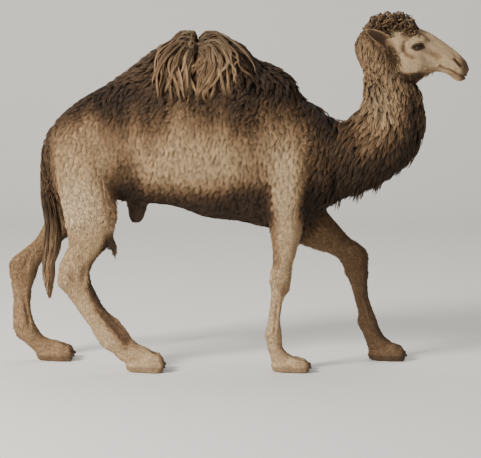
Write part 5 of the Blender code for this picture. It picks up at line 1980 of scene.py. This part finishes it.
for name in [n for n in set_in_flesh if n.startswith("nail")]:
    low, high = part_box(name)
    middle_y, half_y = (low.y + high.y) / 2, (high.y - low.y) / 2
    rings = []
    for t in np.linspace(0.0, 1.0, 14):
        wide = half_y * math.sqrt(max(1.0 - 0.88 * t**2.6, 0.02))
        tall = (high.z - low.z) * (1.0 - 0.55 * t**1.6)
        x_at = low.x + (high.x - low.x) * math.sin(0.5 * math.pi * t)
        turn = np.linspace(0.0, 2 * math.pi, 24, endpoint=False)
        side_y = np.sign(np.cos(turn)) * abs(np.cos(turn)) ** 0.75
        side_z = np.where(np.sin(turn) > 0, np.sin(turn), 0.16 * np.sin(turn))
        rings.append(np.stack([np.full(24, x_at), middle_y + wide * side_y,
                               low.z + 0.16 * tall + 0.84 * tall * side_z], axis=-1))
    made = grid_object(name + "_horn", np.array(rings))
    shade_smooth(made)
    made.data.materials.append(nail_finish)
    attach(made, "root")
    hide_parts(name)
    print(name, "height, mm:", round(1000 * (high.z - low.z)))

# %% [markdown]
# ## The skin's finish
#
# Skin shows where the coat is thin: on the face, feet and belly. Under wool it lies in
# shadow. Short flat hair is too fine for geometry, so a noise stretched along the lie of the
# coat colours and roughens it, and horn is bare and cracked on the soles and the chest pad.

# %% Skin finish
store(skin.data, "in_wool", "FLOAT", wool)
store(skin.data, "bare", "FLOAT", np.clip(bare, 0.0, 1.0))
store(skin.data, "horny", "FLOAT", np.clip(bare * (1.0 - head_share), 0.0, 1.0))
skin_finish, skin_shader, start = finish("skin", (0.5, 0.36, 0.24), 0.7, Specular_IOR_Level=0.3)
coat = start.node("ShaderNodeAttribute", {"attribute_name": "coat_colour"})
in_wool = start.node("ShaderNodeAttribute", {"attribute_name": "in_wool"}, output=2)
is_bare = start.node("ShaderNodeAttribute", {"attribute_name": "bare"}, output=2)
horny = start.node("ShaderNodeAttribute", {"attribute_name": "horny"}, output=2)
along = start.node("ShaderNodeAttribute", {"attribute_name": "lie"}, output=1)
place = start.node("ShaderNodeTexCoord", output=OBJECT)
combed = place - 0.86 * along * place.dot(along)
hair = start.node("ShaderNodeTexNoise", {}, {"Vector": combed, "Scale": 340.0, "Detail": 3.0})
to_edge = {"feature": "DISTANCE_TO_EDGE"}
cracks = start.node("ShaderNodeTexVoronoi", to_edge, {"Vector": place, "Scale": 120.0})
mottle = start.node("ShaderNodeTexNoise", {}, {"Vector": place, "Scale": 14.0, "Detail": 3.0})
shade = (0.80 + 0.36 * hair * (1.0 - is_bare)) * (0.88 + 0.24 * mottle) * (1.0 - 0.62 * in_wool)
start.feed(skin_shader.inputs["Base Color"], coat * shade * (1.0 - 0.18 * is_bare))
start.feed(skin_shader.inputs["Roughness"], 0.72 - 0.10 * is_bare + 0.12 * hair)
pores = start.node("ShaderNodeTexNoise", {}, {"Vector": place, "Scale": 420.0, "Detail": 4.0})
height = hair * (1.0 - is_bare) + 2.0 * cracks * horny + 0.5 * pores * is_bare
relief = {"Strength": 0.55, "Distance": 0.0025, "Height": height}
start.feed(skin_shader.inputs["Normal"], start.node("ShaderNodeBump", {}, relief))
shade_smooth(skin)
skin.data.materials.clear()
skin.data.materials.append(skin_finish)
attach(skin, "root")
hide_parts(*flesh, *ears)
print("the skin replaces parts of the solid model:", len(flesh) + len(ears))

# %% [markdown]
# ## The last measure
#
# The tallest point of the finished model is printed beside that of the solid model. The
# finished model may not be larger than the solid one by more than a little hair.

# %% Sizes, and the end
coat_triangles = [len(piece.data.polygons) for piece in coat_pieces]
print("pieces of coat:", len(coat_triangles), "triangles in all:", sum(coat_triangles))
low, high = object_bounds()
print("tallest point:", round(high.z, 3), "in the solid model:", round(cad_high.z, 3))
